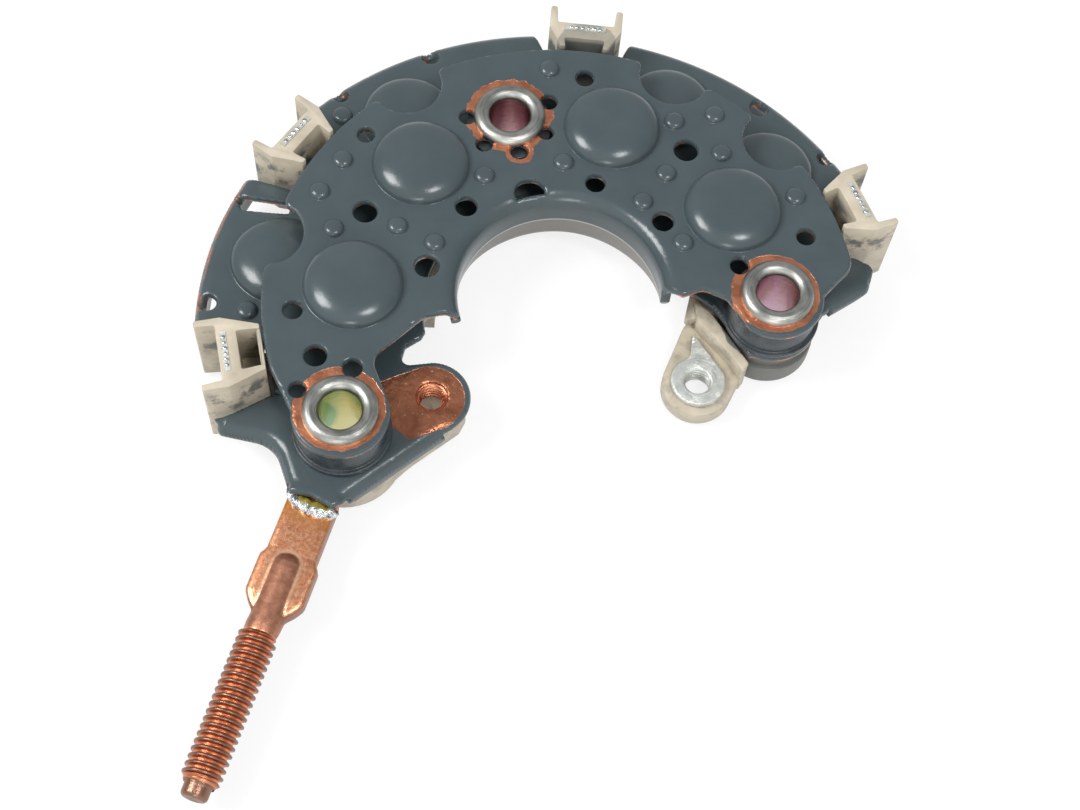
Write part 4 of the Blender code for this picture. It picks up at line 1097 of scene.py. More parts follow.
# %% Rivets and bushes
SEAT = FLOOR_TO_UPPER + 0.05
crown = [(4.75 + 1.35 * math.cos(math.radians(turn)), SEAT + 0.1 + 1.35 * math.sin(math.radians(turn)))
         for turn in range(180, -31, -10)]
tube = crown + [(4.1, SEAT - 0.6), (4.1, 0.65), (5.7, 0.6), (5.9, 0.4), (5.9, 0.1), (5.8, 0.0), (3.5, 0.0),
                (3.4, 0.1)]
bush = softened([(4.4, 15.0), (7.3, 15.0), (7.3, 10.4), (8.0, 10.4), (8.0, 9.6), (5.4, 9.6), (5.4, 7.7),
                 (4.4, 7.7)], 0.18)
BORES = {
    "left": ([(0.36, srgb(150, 182, 134)), (0.41, srgb(216, 208, 150)), (0.62, srgb(232, 220, 164))], 3.0),
    "back": ([(0.38, srgb(160, 120, 126)), (0.5, srgb(190, 154, 158)), (0.62, srgb(182, 154, 138))], 17.0),
    "right": ([(0.36, srgb(186, 160, 150)), (0.42, srgb(206, 168, 188)), (0.62, srgb(216, 184, 196))], 31.0),
}
bush_black = grained("bush_lacquer", (0.4, 3.0, 0.4), [(0.3, srgb(40, 46, 50)), (0.7, srgb(58, 65, 69))],
                     (0.2, 0.18), 0.08)[0]
for key, place in RIVETS.items():
    stops, seed = BORES[key]
    dress(lathe(f"rivet_tube_{key}", tube, place), steel(f"rivet_steel_{key}", stops, seed, place),
          [f"rivet_{key}"])
    dress(lathe(f"bush_{key}", bush, place), bush_black, [f"spacer_{key}"])

# %% [markdown]
# ## The cream moulding
# The holder is one glass filled moulding. Its edges are softly rounded, which a Boolean result seldom is, so
# each wall and boss is its own prism with rounded rims, and they are joined into one piece. The four wire
# guides follow one plan, shaped like an H, set at four angles.

# %% Prisms with rounded rims


def inset(points, amount):
    """A closed loop moved inwards, corner by corner."""
    loop = np.array(points)
    before, after = np.roll(loop, 1, axis=0), np.roll(loop, -1, axis=0)
    first, second = loop - before, after - loop
    first /= np.linalg.norm(first, axis=1)[:, None]
    second /= np.linalg.norm(second, axis=1)[:, None]
    normal = np.column_stack([-(first + second)[:, 1], (first + second)[:, 0]])
    normal /= np.linalg.norm(normal, axis=1)[:, None]
    side = np.column_stack([-first[:, 1], first[:, 0]])
    reach = 1.0 / np.clip((normal * side).sum(axis=1), 0.5, 1.0)
    return loop + normal * (amount * reach)[:, None]


def moulded(name, corners, bottom, top, rim=0.25, step=15.0):
    """An upright prism on an outline of corners, with both rims rounded over."""
    loop = np.array(rounded(corners, step))
    if np.cross(loop, np.roll(loop, -1, axis=0)).sum() < 0:
        loop = loop[::-1]
    levels = [(turn, bottom, 1) for turn in (90, 45, 0)] + [(turn, top, -1) for turn in (0, 45, 90)]
    rings = []
    for turn, height, side in levels:
        rise = rim * (1 - math.sin(math.radians(turn)))
        around = inset(loop, rim * (1 - math.cos(math.radians(turn))))
        rings.append([(x, y, height + side * rise) for x, y in around])
    return skin(name, rings)


def guide_frame(angle, shape):
    """Turn (distance in from the tip, sideways, fillet) corners to a guide's place."""
    return [(*swung(angle, [(GUIDE_TIP - inset_by, side)])[0], fillet) for inset_by, side, fillet in shape]


def capsule(start, end, start_radius, end_radius):
    """The outline round two circles, as corners."""
    angle = math.degrees(heading(start, end))
    distance = math.hypot(end[0] - start[0], end[1] - start[1])
    lean = math.degrees(math.asin((start_radius - end_radius) / distance))
    return (arc(end, end_radius, angle - 90.0 + lean, angle + 90.0 - lean, 8.0)
            + arc(start, start_radius, angle + 90.0 - lean, angle + 270.0 + lean, 8.0))


def ring_of(name, x, y, outer, inner, bottom, top, rim=0.25):
    """A turned boss with a bore."""
    profile = [(inner, top), (outer, top), (outer, bottom), (inner, bottom)]
    return lathe(name, softened(profile, rim), (x, y), 48)


def drill(made, place, radius):
    """Take an upright bore out of a part, and keep the result as its own mesh."""
    profile = [(0.0, -1.0), (radius, -1.0), (radius, 19.0), (0.0, 19.0)]
    cutter = lathe("cutter", profile, place, 48, closed=False)
    cut = made.modifiers.new("bore", "BOOLEAN")
    cut.operation = "DIFFERENCE"
    cut.solver = "EXACT"
    cut.object = cutter
    made.data = evaluated(made)
    bpy.data.objects.remove(cutter, do_unlink=True)


print("moulding tools ready")

# %% Build the holder
HOLDER_BASE = 0.9
HOLDER_TOP = 7.4
GUIDE_TOP = 17.2
ARM_TOP = 5.0
LUG_TOP = 4.4
FOOT_RADII = {"left": 9.7, "back": 9.4, "right": 7.9}


def guide_heel(angle):
    """How far in from its tip a guide may reach, up to the upper plate's edge."""
    turn = math.radians(angle)
    along_centre = UPPER_CENTRE[0] * math.cos(turn) + UPPER_CENTRE[1] * math.sin(turn)
    square = UPPER_RADIUS ** 2 - UPPER_CENTRE[0] ** 2 - UPPER_CENTRE[1] ** 2 + along_centre ** 2
    return GUIDE_TIP - (along_centre + math.sqrt(square) + 0.3)


def guide_parts(key, angle):
    """One wire guide: two legs and a web over a solid foot."""
    heel = guide_heel(angle)
    shape = [(0.0, -6.3, 0.4), (0.0, -5.2, 0.3), (3.3, -4.9, 0.35), (3.3, 4.9, 0.35), (0.0, 5.2, 0.3),
             (0.0, 6.3, 0.4), (4.3, 6.3, 0.3), (heel, 4.1, 0.3), (heel, 3.2, 0.25), (6.55, 3.5, 0.4),
             (6.55, -3.5, 0.4), (heel, -3.2, 0.25), (heel, -4.1, 0.3), (4.3, -6.3, 0.3)]
    parts = [moulded("guide", guide_frame(angle, shape), HOLDER_BASE, GUIDE_TOP, 0.22)]
    foot = [(6.0, -3.6, 0.0), (6.0, 3.6, 0.0), (heel, 3.3, 0.0), (heel, -3.3, 0.0)]
    parts.append(moulded("guide_foot", guide_frame(angle, foot), HOLDER_BASE, 4.0, 0.1))
    arm = [(4.3, -4.0, 0.3), (4.3, 4.0, 0.3), (17.4, 4.0, 0.3), (17.4, -4.0, 0.3)]
    parts.append(moulded("guide_arm", guide_frame(angle, arm), 2.5, HOLDER_TOP - 0.1, 0.2))
    if key == "left":
        wall = [(heel - 0.65, -3.5, 0.1), (heel - 0.65, 3.5, 0.1), (heel, 3.2, 0.1), (heel, -3.2, 0.1)]
        parts.append(moulded("guide_wall", guide_frame(angle, wall), 4.0, GUIDE_TOP - 0.3, 0.15))
    return parts


parts = []
outer = arc((0.0, 0.0), 43.0, 16.0, 206.0)
inner = arc(BORE_CENTRE, 20.6, 184.0, 30.0)
ring_roof = moulded("ring_roof", outer + inner + [(21.8, 10.2, 1.0), (21.0, 4.0, 0.5)], HOLDER_TOP - 2.0,
                    HOLDER_TOP)
for key in ("back", "right"):
    drill(ring_roof, RIVETS[key], 4.5)
parts.append(ring_roof)
parts.append(moulded("ring_wall", outer + arc((0.0, 0.0), 41.2, 206.0, 16.0), HOLDER_BASE, HOLDER_TOP - 1.0))
parts.append(moulded("ring_lip", inner + arc(BORE_CENTRE, 22.4, 30.0, 184.0), HOLDER_BASE, HOLDER_TOP - 1.0))
for key, (x, y) in RIVETS.items():
    parts.append(ring_of("boss", x, y, 7.0, 4.4, HOLDER_BASE, HOLDER_TOP))
    parts.append(ring_of("boss_foot", x, y, FOOT_RADII[key], 4.6, HOLDER_BASE, ARM_TOP))
for x, y in UPPER_DOMES:
    parts.append(ring_of("lead_post", x, y, 2.4, 1.0, 2.5, HOLDER_TOP - 0.5, 0.1))
parts.append(moulded("tongue_arm", [(-27.6, -23.0, 0.5), (-29.5, -32.4, 0.5), (-26.4, -31.4, 2.0),
                                    (-21.7, -25.5, 8.0), (-14.3, -18.4, 1.0), (-13.4, -16.0, 1.0),
                                    (-14.2, -12.4, 2.0), (-19.4, -10.2, 2.0), (-27.2, -17.2, 0.5)],
                     HOLDER_BASE, ARM_TOP))
parts.append(ring_of("tongue_boss", *TONGUE_HOLE, 4.3, 2.75, 2.4, HOLDER_TOP))
for key, angle in GUIDES.items():
    parts += guide_parts(key, angle)
lug = capsule((26.9, 2.0), LUG_HOLE, 6.2, 5.9)
lug_body = moulded("lug", lug, HOLDER_BASE, LUG_TOP, 0.4)
parts.append(lug_body)
wall = [(23.2, 3.9, 0.3), (28.3, -1.1, 0.2), (31.2, -4.7, 0.3), (32.1, -3.1, 0.3), (28.3, 1.9, 0.2),
        (25.2, 5.7, 0.2), (22.3, 7.6, 0.3)]
parts.append(moulded("lug_wall", wall, HOLDER_BASE, 8.3))
drill(lug_body, LUG_HOLE, 2.8)
drill(lug_body, RIVETS["right"], 4.5)
holder = joined("holder_moulding", parts)
print("holder parts:", len(parts))

# %% [markdown]
# ## Cream plastic with stray paint and painted shade
# The moulding is a warm cream with a faint flow pattern. Because the plates were painted in place, grey specks
# and smudges lie on it near them, mostly low on the guides. The speckle group gives them. The right boss is
# grey with overspray, and a grey disc on the cream seen through a plate hole near the top guide is painted
# shade.

# %% Cream plastic
cream, tree, shader, vector, body = grained("cream_moulding", (0.25, 2.2, 0.35),
                                            [(0.3, srgb(168, 158, 139)), (0.7, srgb(190, 180, 160))],
                                            (0.2, 0.38), 0.10)
axes = split(tree, vector)


def height_band(low, high, at_low, at_high):
    """A value that changes with height between two levels in millimetres."""
    return spread(tree, axes["Z"], low, high, at_low, at_high)


smears = use(tree, speckle, vector, Size=0.28, Level=0.485, Softness=0.10)
specks = use(tree, speckle, vector, Size=1.6, Level=0.66, Softness=0.03)
on_walls = compute(tree, "MULTIPLY", height_band(8.5, 9.5, 0.35, 1.0), height_band(14.0, 16.2, 1.0, 0.0))
stray_paint_and_shade = compute(tree, "MULTIPLY", smears.outputs["Mask"], on_walls)
stray_paint_and_shade = compute(tree, "MAXIMUM", stray_paint_and_shade, compute(tree, "MULTIPLY", specks.outputs["Mask"], 0.7))
# The right boss takes grey overspray; the disc near the top guide is painted shade on the cream under a plate
# hole.
for place, reach in ((RIVETS["right"], 8.3), ((0.1, 50.0), 5.5)):
    overspray_and_painted_light = use(tree, bare_patch, vector, Start=flat_place(*place), End=flat_place(place[0] + 0.1, place[1]),
                Radius=reach, Ragged=1.0, Scale=0.5)
    stray_paint_and_shade = compute(tree, "MAXIMUM", stray_paint_and_shade, overspray_and_painted_light.outputs["Mask"])
stray_paint_and_shade = compute(tree, "MULTIPLY", stray_paint_and_shade, height_band(16.0, 16.6, 0.85, 0.45))
wire(tree, blend_colour(tree, stray_paint_and_shade, body, srgb(78, 83, 84)), shader.inputs["Base Color"])
dress(holder, cream, ["terminal_holder"])

# %% [markdown]
# ## The output stud
# The stud is one copper rod. Its end is hammered flat into a blade, so that each cross section is a blend of a
# rounded bar and a circle. Lofting such sections gives the soft forged ridge that two joined solids wouldn't.

# %% Stud body
STUD_HEAD = (-40.6, -57.9)
STUD_AXIS = 5.6
STUD_TURN = math.radians(258.0)
THREAD_RADIUS = 3.175
THREAD_LENGTH = 24.7
BLADE_HALF = (
    (-24.4, 3.5), (-24.1, 3.95), (-23.3, 4.1), (-13.6, 4.1), (-13.0, 4.35), (-12.4, 4.75), (-11.8, 4.82),
    (-6.4, 4.8), (-5.8, 4.65), (-4.6, 3.9), (-3.6, 3.0), (-3.1, 2.6), (-2.6, 1.9), (0.0, 1.2),
)
RIDGE = ((-24.4, 0.4), (-14.0, 0.6), (-13.6, 1.1), (-13.3, 1.75), (-12.8, 2.3), (-12.0, 2.65), (-11.0, 2.75),
         (-1.3, 2.78), (-0.5, 2.7), (0.0, 2.6))
RIDGE_BLEND = 0.35
BLADE_THICK = ((-24.4, 1.45), (-24.1, 1.72), (-23.6, 1.8), (-6.0, 1.8), (-3.0, 1.5), (0.0, 1.0))


def along_stud(forward_by, sideways, up):
    """A point given along the stud's axis from its first crest, sideways and up, about the shaft."""
    return (STUD_HEAD[0] + forward_by * math.cos(STUD_TURN) - sideways * math.sin(STUD_TURN),
            STUD_HEAD[1] + forward_by * math.sin(STUD_TURN) + sideways * math.cos(STUD_TURN),
            STUD_AXIS + up)


def stud_section(forward_by, count=96):
    """One cross section: a rounded bar with a round ridge blended into it."""
    half = np.interp(forward_by, *zip(*BLADE_HALF))
    thick = np.interp(forward_by, *zip(*BLADE_THICK))
    ridge = np.interp(forward_by, *zip(*RIDGE))
    ring = []
    for index in range(count):
        turn = 2 * math.pi * index / count
        angle = math.atan2(thick * math.sin(turn), half * math.cos(turn))
        bar = (abs(math.cos(angle) / half) ** 7 + abs(math.sin(angle) / thick) ** 7) ** (-1 / 7)
        reach = max(bar, ridge) + max(RIDGE_BLEND - abs(bar - ridge), 0) ** 2 / (4 * RIDGE_BLEND)
        aside = 0.25 * min(1.0, max(0.0, -forward_by / 3.0))
        ring.append(along_stud(forward_by, reach * math.cos(angle) + aside, reach * math.sin(angle)))
    return ring


stations = [-24.4, -24.3, -24.15, -23.9, -23.5, -14.2, -13.9]
stations += [round(-13.7 + 0.15 * index, 2) for index in range(20)] + [-10.5, -9.0, -7.5]
stations += [round(-6.6 + 0.3 * index, 2) for index in range(23)]
stud_body = skin("stud_body", [stud_section(station) for station in stations])
print("stud sections:", len(stations))

# %% [markdown]
# ## A rolled thread with Geometry Nodes
# A thread is a rule: the radius rises and falls once per pitch, and the rise winds round once per turn. The
# tree takes a grid of turn against length, and sets each point from that rule. The crest is rounded and the
# root wider, as rolling leaves them, and the rise fades in and out at the two ends.

# %% Thread tree


def start_tree(name, inputs):
    """A Geometry Nodes tree with (name, kind, default) inputs and a finish; also its inputs and outputs."""
    tree = bpy.data.node_groups.new(name, "GeometryNodeTree")
    for label, kind, default in inputs:
        socket = tree.interface.new_socket(name=label, in_out="INPUT", socket_type=f"NodeSocket{kind}")
        socket.default_value = default
    tree.interface.new_socket(name="Finish", in_out="INPUT", socket_type="NodeSocketMaterial")
    tree.interface.new_socket(name="Geometry", in_out="OUTPUT", socket_type="NodeSocketGeometry")
    return tree, tree.nodes.new("NodeGroupInput").outputs, tree.nodes.new("NodeGroupOutput").inputs


def end_tree(tree, shape, taken, given):
    """Realize a shape, set its material and give it out."""
    for kind in ("GeometryNodeRealizeInstances", "GeometryNodeSetMaterial"):
        following = add(tree, kind)
        wire(tree, shape, following.inputs["Geometry"])
        shape = following
    wire(tree, taken["Finish"], shape.inputs["Material"])
    wire(tree, shape, given["Geometry"])


def thread_tree():
    """Geometry Nodes for a rolled thread that runs along +Z from the origin, in millimetres."""
    tree, taken, given = start_tree("rolled_thread", [
        ("Crest radius", "Float", 3.175), ("Root radius", "Float", 2.5), ("Pitch", "Float", 1.2),
        ("Length", "Float", 24.7)])
    grid = add(tree, "GeometryNodeMeshGrid", in_Size_X=1.0, in_Size_Y=1.0, in_Vertices_X=61, in_Vertices_Y=281)
    axes = split(tree, add(tree, "GeometryNodeInputPosition"))
    turn = compute(tree, "ADD", axes["X"], 0.5)
    height = product(tree, compute(tree, "ADD", axes["Y"], 0.5), taken["Length"])
    phase = compute(tree, "SUBTRACT", compute(tree, "DIVIDE", height, taken["Pitch"]), turn)
    wave = compute(tree, "SUBTRACT", 1.0, product(tree, compute(tree, "PINGPONG", phase, 0.5), 2.0))
    left = compute(tree, "SUBTRACT", taken["Length"], height)
    fade = product(tree, spread(tree, height, -0.3, 0.5), spread(tree, left, 0.0, 1.0, -0.2, 1.0))
    rise = compute(tree, "SUBTRACT", taken["Crest radius"], taken["Root radius"])
    rise = product(tree, rise, spread(tree, wave, 0.08, 0.86, kind="SMOOTHSTEP"), fade)
    radius = compute(tree, "ADD", taken["Root radius"], rise)
    angle = product(tree, turn, 2 * math.pi)
    spot = combine(tree, product(tree, radius, compute(tree, "COSINE", angle)),
                   product(tree, radius, compute(tree, "SINE", angle)), height)
    moved = add(tree, "GeometryNodeSetPosition")
    wire(tree, grid, moved.inputs["Geometry"])
    wire(tree, spot, moved.inputs["Position"])
    merged = add(tree, "GeometryNodeMergeByDistance", in_Distance=0.001)
    wire(tree, moved, merged.inputs["Geometry"])
    end_tree(tree, merged, taken, given)
    return tree


def grown(name, tree, material, place, **inputs):
    """Run a Geometry Nodes tree on an empty mesh, and put each point of its result where place says."""
    made = bpy.data.objects.new("grown", bpy.data.meshes.new("grown"))
    bpy.context.scene.collection.objects.link(made)
    modifier = made.modifiers.new("tree", "NODES")
    modifier.node_group = tree
    inputs["Finish"] = material
    for socket in tree.interface.items_tree:
        if socket.in_out == "INPUT":
            modifier[socket.identifier] = inputs[socket.name.replace(" ", "_")]
    result = evaluated(made)
    bpy.data.objects.remove(made, do_unlink=True)
    return piece(name, [place(*point.co) for point in result.vertices],
                 [tuple(face.vertices) for face in result.polygons])


print("thread tree ready")

# %% [markdown]
# ## Copper of the stud
# The rolled thread is clean orange copper in its roots, while its crests and the dog point have gone dull and
# brown. So has the ridge between blade and thread. The blade end shows orange heat tint from the soldering.
# One number, the distance along the axis, drives all of them. Bright bands along both sides of the ridge are
# painted highlights.

# %% Stud copper
stud_copper, tree, shader, vector = start_material("stud_copper")
AXIS = (math.cos(STUD_TURN), math.sin(STUD_TURN), 0.0)
ACROSS = (-math.sin(STUD_TURN), math.cos(STUD_TURN), 0.0)
centred = vector_math(tree, "SUBTRACT", vector, (STUD_HEAD[0] + SHIFT.x, STUD_HEAD[1] + SHIFT.y, STUD_AXIS))
axial = vector_math(tree, "DOT_PRODUCT", centred, AXIS)
sideways = vector_math(tree, "DOT_PRODUCT", centred, ACROSS)
from_axis = vector_math(tree, "LENGTH", vector_math(tree, "CROSS_PRODUCT", centred, AXIS))
grain = use(tree, fine_grain, vector, Coarse=0.5, Fine=4.0, Fine_share=0.6)
wear_and_highlight = ramp(tree, noise(tree, vector, 1.6, 4.0, 0.6),
            [(0.30, srgb(214, 138, 98)), (0.50, srgb(240, 166, 124)), (0.70, srgb(253, 206, 172))])
brown = ramp(tree, noise(tree, vector, 0.9, 4.0, 0.6),
             [(0.3, srgb(148, 102, 82)), (0.7, srgb(188, 136, 110))])
along_ridge = product(tree, spread(tree, axial, -14.4, -14.0), spread(tree, axial, -0.5, 0.0, 1.0, 0.0))
aside = compute(tree, "ABSOLUTE", compute(tree, "SUBTRACT", sideways, 0.2))
overrun = compute(tree, "MAXIMUM", compute(tree, "SUBTRACT", -11.4, axial), 0.0)
squares = compute(tree, "ADD", product(tree, overrun, overrun), product(tree, aside, aside))
reach = compute(tree, "SQRT", squares)
ridge_mask = product(tree, along_ridge, spread(tree, reach, 2.0, 2.2, 1.0, 0.0))
# Painted highlight: bright bands along both sides of the ridge, blended into the worn copper.
ridge_highlight = spread(tree, compute(tree, "ABSOLUTE", compute(tree, "SUBTRACT", reach, 2.4)), 0.0, 0.40, 0.85, 0.0)
wear_and_highlight = blend_colour(tree, product(tree, along_ridge, ridge_highlight), wear_and_highlight, srgb(252, 206, 170))
neck = spread(tree, axial, -4.6, -3.4)
colour = blend_colour(tree, compute(tree, "MAXIMUM", ridge_mask, neck), wear_and_highlight, brown)
tint = spread(tree, axial, -21.5, -17.5, 1.0, 0.0)
colour = blend_colour(tree, product(tree, tint, 0.85), colour, srgb(238, 158, 78))
wall = product(tree, spread(tree, split(tree, centred)["Z"], 1.25, 1.6, 0.9, 0.0),
               compute(tree, "LESS_THAN", axial, -2.5))
colour = blend_colour(tree, wall, colour, srgb(142, 98, 80))
threaded = compute(tree, "GREATER_THAN", axial, -0.2)
colour = blend_colour(tree, product(tree, threaded, 0.85), colour, srgb(138, 106, 90))
root = product(tree, spread(tree, from_axis, 2.62, 2.98, 0.9, 0.0), threaded,
               compute(tree, "LESS_THAN", axial, 24.4))
colour = blend_colour(tree, root, colour, srgb(226, 138, 96))
wire(tree, colour, shader.inputs["Base Color"])
shader.inputs["Metallic"].default_value = 1.0
roughness = compute(tree, "MULTIPLY_ADD", grain.outputs["Height"], 0.25, 0.20)
wire(tree, compute(tree, "MULTIPLY_ADD", ridge_mask, 0.18, roughness), shader.inputs["Roughness"])
bump(tree, shader, grain.outputs["Height"], 0.08)

# %% Put the stud together
DOG_POINT = ((2.9, -1.0), (2.4, -0.2), (2.2, 0.1), (2.15, 0.4), (2.15, 1.5), (2.05, 1.85), (1.8, 2.1),
             (1.4, 2.2), (0.5, 2.0), (0.001, 1.9))


def stud_ring(station, radius, count=48):
    """A circle about the stud's axis."""
    turns = [2 * math.pi * index / count for index in range(count)]
    return [along_stud(station, radius * math.cos(turn), radius * math.sin(turn)) for turn in turns]


def on_stud(x, y, z):
    """A point of the upright thread, laid along the stud."""
    return along_stud(z, x, y)


thread = grown("thread", thread_tree(), stud_copper, on_stud, Crest_radius=THREAD_RADIUS, Root_radius=2.5,
               Pitch=1.2, Length=THREAD_LENGTH)
dog = skin("dog_point", [stud_ring(THREAD_LENGTH + z, r) for r, z in DOG_POINT])
core = skin("core", [stud_ring(station, 2.6) for station in (-0.5, 24.4)])
stud = joined("output_stud_copper", [stud_body, thread, dog, core])
dress(stud, stud_copper, ["output_stud"], 50.0)

# %% [markdown]
# ## Tin, solder and what else is metal
# Four tinned strips stand in the guides, and one lies on the lug. They keep the frame's own solids where they
# are right, and the lug's strip is made again with a rounded rim. Dull tin is grey with lighter scrapes.

# %% Tinned strips
tin, tree, shader, vector = start_material("dull_tin")
grain = use(tree, fine_grain, vector, Coarse=0.7, Fine=3.5, Fine_share=0.5)
scrape = use(tree, speckle, vector, Size=0.8, Level=0.56, Softness=0.08)
body = ramp(tree, grain.outputs["Tone"], [(0.3, srgb(190, 193, 187)), (0.7, srgb(216, 218, 212))])
wire(tree, blend_colour(tree, scrape.outputs["Mask"], body, srgb(236, 237, 232)), shader.inputs["Base Color"])
shader.inputs["Metallic"].default_value = 0.6
wire(tree, compute(tree, "MULTIPLY_ADD", grain.outputs["Height"], 0.2, 0.34), shader.inputs["Roughness"])
lug_marks = use(tree, turned_marks, vector, Centre=flat_place(*LUG_HOLE), Rings=2.5)
bump(tree, shader, compute(tree, "ADD", compute(tree, "MULTIPLY", grain.outputs["Height"], 0.10),
                           compute(tree, "MULTIPLY", lug_marks.outputs["Height"], 0.10)), 1.0)
for key in GUIDES:
    coat(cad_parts[f"phase_terminal_{key}"], tin)
strip_plan = [(22.8, 3.0, 0.3), (22.6, -1.5, 1.5)] + arc(LUG_HOLE, 4.5, 142.0, 386.0, 8.0)
lug_strip = pressed_sheet("lug_strip", [rounded(strip_plan), circle(*LUG_HOLE, 2.5, 40)], 5.7, 2.0,
                          [], [], [], 0.3)
for point in lug_strip.data.vertices:
    point.co.z = max(point.co.z, 4.7 * MM)
dress(lug_strip, tin, ["lug_terminal"])

# %% [markdown]
# ## Two tapped holes
# The tongue and the lug are tapped for screws. Seen from above, a tapped hole shows two or three bright
# crescents. The sleeve is a grid of turn against height whose inner radius winds inwards once per turn, closed
# outside by a plain wall.

# %% Tapped sleeves


def tapped_sleeve(name, place, bottom, top, outer, crest, pitch=0.9, turns=64):
    """A closed sleeve with a thread inside."""
    rows = int((top - bottom) / pitch * 10)
    angles = [360.0 * index / turns for index in range(turns)]
    root = outer - 0.3
    rings = []
    for row in range(rows + 1):
        z = bottom + (top - bottom) * row / rows
        fade = min(1.0, (top - z) / 0.3, (z - bottom) / 0.3)
        ring = []
        for index, angle in enumerate(angles):
            phase = (z / pitch - index / turns) % 1.0
            rise = min(1.0, max(0.0, 1.6 * (1 - abs(2 * phase - 1)) - 0.3))
            ring.append((*polar(root - (root - crest) * rise * fade, angle, place), z))
        rings.append(ring)
    rings += [[(*polar(outer, angle, place), z) for angle in angles] for z in (top, bottom)]
    return skin(name, rings, around=True)


bare_copper, tree, shader, vector = start_material("tapped_copper")
wire(tree, copper_colour(tree, vector, 2.0), shader.inputs["Base Color"])
shader.inputs["Metallic"].default_value = 1.0
shine = use(tree, fine_grain, vector, Coarse=0.8, Fine=5.0, Fine_share=0.5)
wire(tree, compute(tree, "MULTIPLY_ADD", shine.outputs["Height"], 0.2, 0.18), shader.inputs["Roughness"])
bump(tree, shader, shine.outputs["Height"], 0.05)
tongue_thread = tapped_sleeve("tongue_thread", TONGUE_HOLE, 3.2, 8.85, 2.72, 2.0)
lug_thread = tapped_sleeve("lug_thread", LUG_HOLE, 1.3, 5.45, 2.78, 2.1)
dress(tongue_thread, bare_copper, smooth=50.0)
dress(lug_thread, tin, smooth=50.0)

# %% [markdown]
# ## Solder drops with Geometry Nodes
# Where each strip was tinned, a row of small bright drops has set on its end. They repeat with small chance
# changes, so a tree scatters them: a line of points, a squashed round drop on each, turned and scaled by a
# fixed seed.

# %% Drop tree


def drop_tree():
    """Geometry Nodes for a row of set drops along +X about the origin, in millimetres."""
    tree, taken, given = start_tree("solder_drops", [
        ("Count", "Int", 5), ("Span", "Float", 5.0), ("Size", "Float", 0.42), ("Seed", "Int", 1)])
    row = add(tree, "GeometryNodeMeshLine", mode="END_POINTS")
    wire(tree, taken["Count"], row.inputs["Count"])
    wire(tree, combine(tree, product(tree, taken["Span"], -0.5)), row.inputs["Start Location"])
    wire(tree, combine(tree, product(tree, taken["Span"], 0.5)), row.inputs["Offset"])
    drop = add(tree, "GeometryNodeMeshIcoSphere", in_Subdivisions=3, in_Radius=1.0)
    size = add(tree, "FunctionNodeRandomValue", data_type="FLOAT_VECTOR", in_Min=(0.75, 0.7, 0.55),
               in_Max=(1.25, 1.15, 0.8))
    turned_by = add(tree, "FunctionNodeRandomValue", data_type="FLOAT_VECTOR", in_Max=(0.2, 0.2, 3.1))
    for chance in (size, turned_by):
        wire(tree, taken["Seed"], chance.inputs["Seed"])
    spots = add(tree, "GeometryNodeInstanceOnPoints")
    wire(tree, row, spots.inputs["Points"])
    wire(tree, drop, spots.inputs["Instance"])
    wire(tree, vector_math(tree, "SCALE", size.outputs[0], taken["Size"]), spots.inputs["Scale"])
    wire(tree, turned_by, spots.inputs["Rotation"])
    end_tree(tree, spots, taken, given)
    return tree


solder = grained("bright_solder", (0.9, 4.0, 0.4), [(0.3, srgb(176, 180, 180)), (0.7, srgb(222, 226, 226))],
                 (0.2, 0.12), 0.1, 1.0)[0]
drops = drop_tree()
for number, (key, angle) in enumerate(GUIDES.items()):
    def on_guide(x, y, z):
        """A point of the drop row, set on the end of a guide's strip."""
        return (*swung(angle, [(GUIDE_TIP - 4.4 + y, x)])[0], max(GUIDE_TOP + 0.15 + z, GUIDE_TOP))

    row = grown(f"solder_drops_{key}", drops, solder, on_guide, Count=6, Span=5.0, Size=0.42, Seed=number + 3)
    dress(row, solder, smooth=60.0)

# %% [markdown]
# ## The solder fillet
# Solder has run into the corner between the blade and the plate's neck, and set as a bright crescent with
# brown flux behind it. It is a small drop shape, so a moved grid of sections is enough.

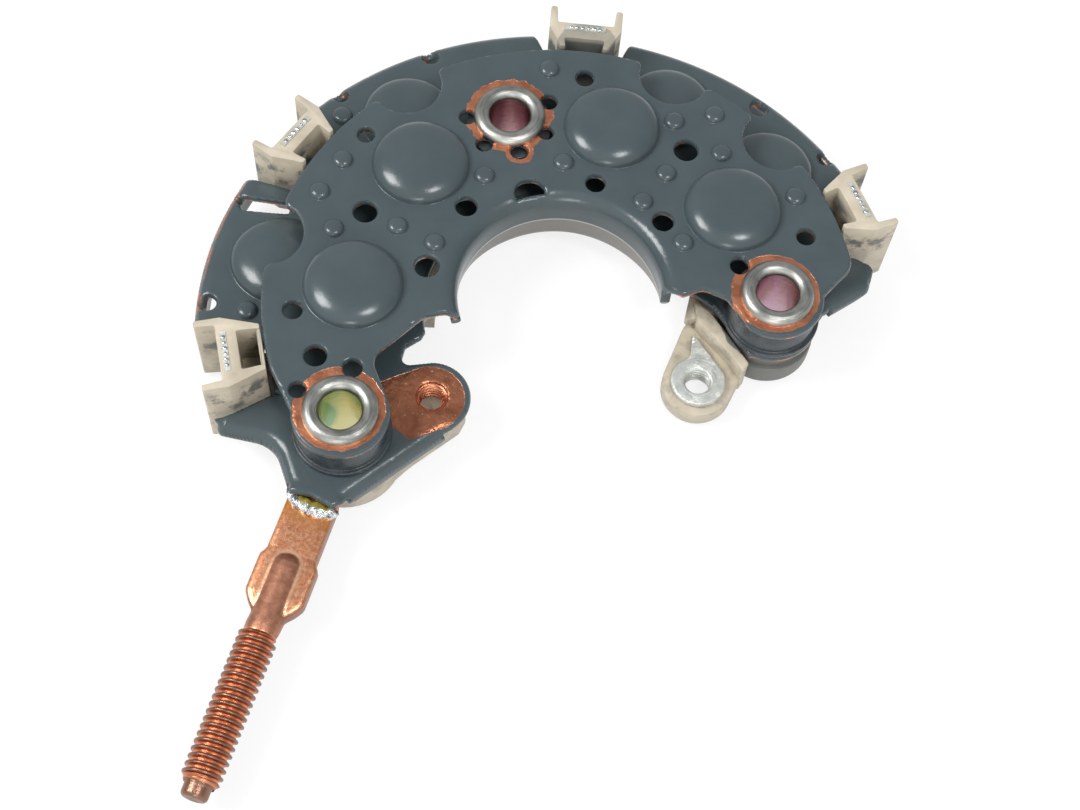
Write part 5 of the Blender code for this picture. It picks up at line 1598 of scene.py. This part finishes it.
# %% Solder fillet
CRESCENT = ((-39.9, -34.2), (-39.4, -35.0), (-38.2, -35.9), (-36.8, -36.6), (-35.2, -37.1), (-33.6, -37.4),
            (-32.2, -37.5), (-31.1, -37.4))
path = np.array(CRESCENT)
fillet_rings = []
for share in np.linspace(0.0, 1.0, 41):
    spot = np.array([np.interp(share, np.linspace(0, 1, len(path)), path[:, axis]) for axis in (0, 1)])
    swell = max(math.sin(math.pi * share), 0.0) ** 0.5
    wobble = 0.14 * math.sin(31.0 * share) + 0.10 * math.sin(53.0 * share + 1.0)
    reach_y = (1.3 + wobble) * swell + 0.08
    reach_z = (0.95 + wobble) * swell + 0.06
    ring = []
    for index in range(24):
        turn = 2 * math.pi * index / 24
        ripple = 1.0 + 0.07 * math.sin(5.0 * turn + 19.0 * share)
        ring.append((spot[0], spot[1] + reach_y * ripple * math.cos(turn),
                     7.6 + reach_z * ripple * math.sin(turn)))
    fillet_rings.append(ring)
fillet = skin("solder_fillet", fillet_rings)
fluxed, tree, shader, vector, bright = grained("fluxed_solder", (1.2, 5.0, 0.5),
                                               [(0.35, srgb(120, 124, 126)), (0.6, srgb(225, 228, 228))],
                                               (0.2, 0.12), 0.25)
flux = use(tree, bare_patch, vector, Start=flat_place(-37.0, -35.7), End=flat_place(-33.2, -36.7),
           Radius=0.75, Ragged=0.5, Scale=1.2)
wire(tree, blend_colour(tree, flux.outputs["Mask"], bright, srgb(136, 124, 48)), shader.inputs["Base Color"])
wire(tree, compute(tree, "MULTIPLY_ADD", flux.outputs["Mask"], -0.8, 0.9), shader.inputs["Metallic"])
dress(fillet, fluxed, ["stud_solder"], 60.0)

# %% [markdown]
# ## What stays as the frame made it
# The diodes sit unseen under the domes. They keep their solids, and get the finish of dark potting.

# %% Potting
potting = grained("dark_potting", (0.6, 4.0, 0.5), [(0.3, srgb(44, 44, 48)), (0.7, srgb(62, 62, 66))],
                  (0.3, 0.4), 0.1)[0]
for key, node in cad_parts.items():
    if key.startswith("diode"):
        coat(node, potting)
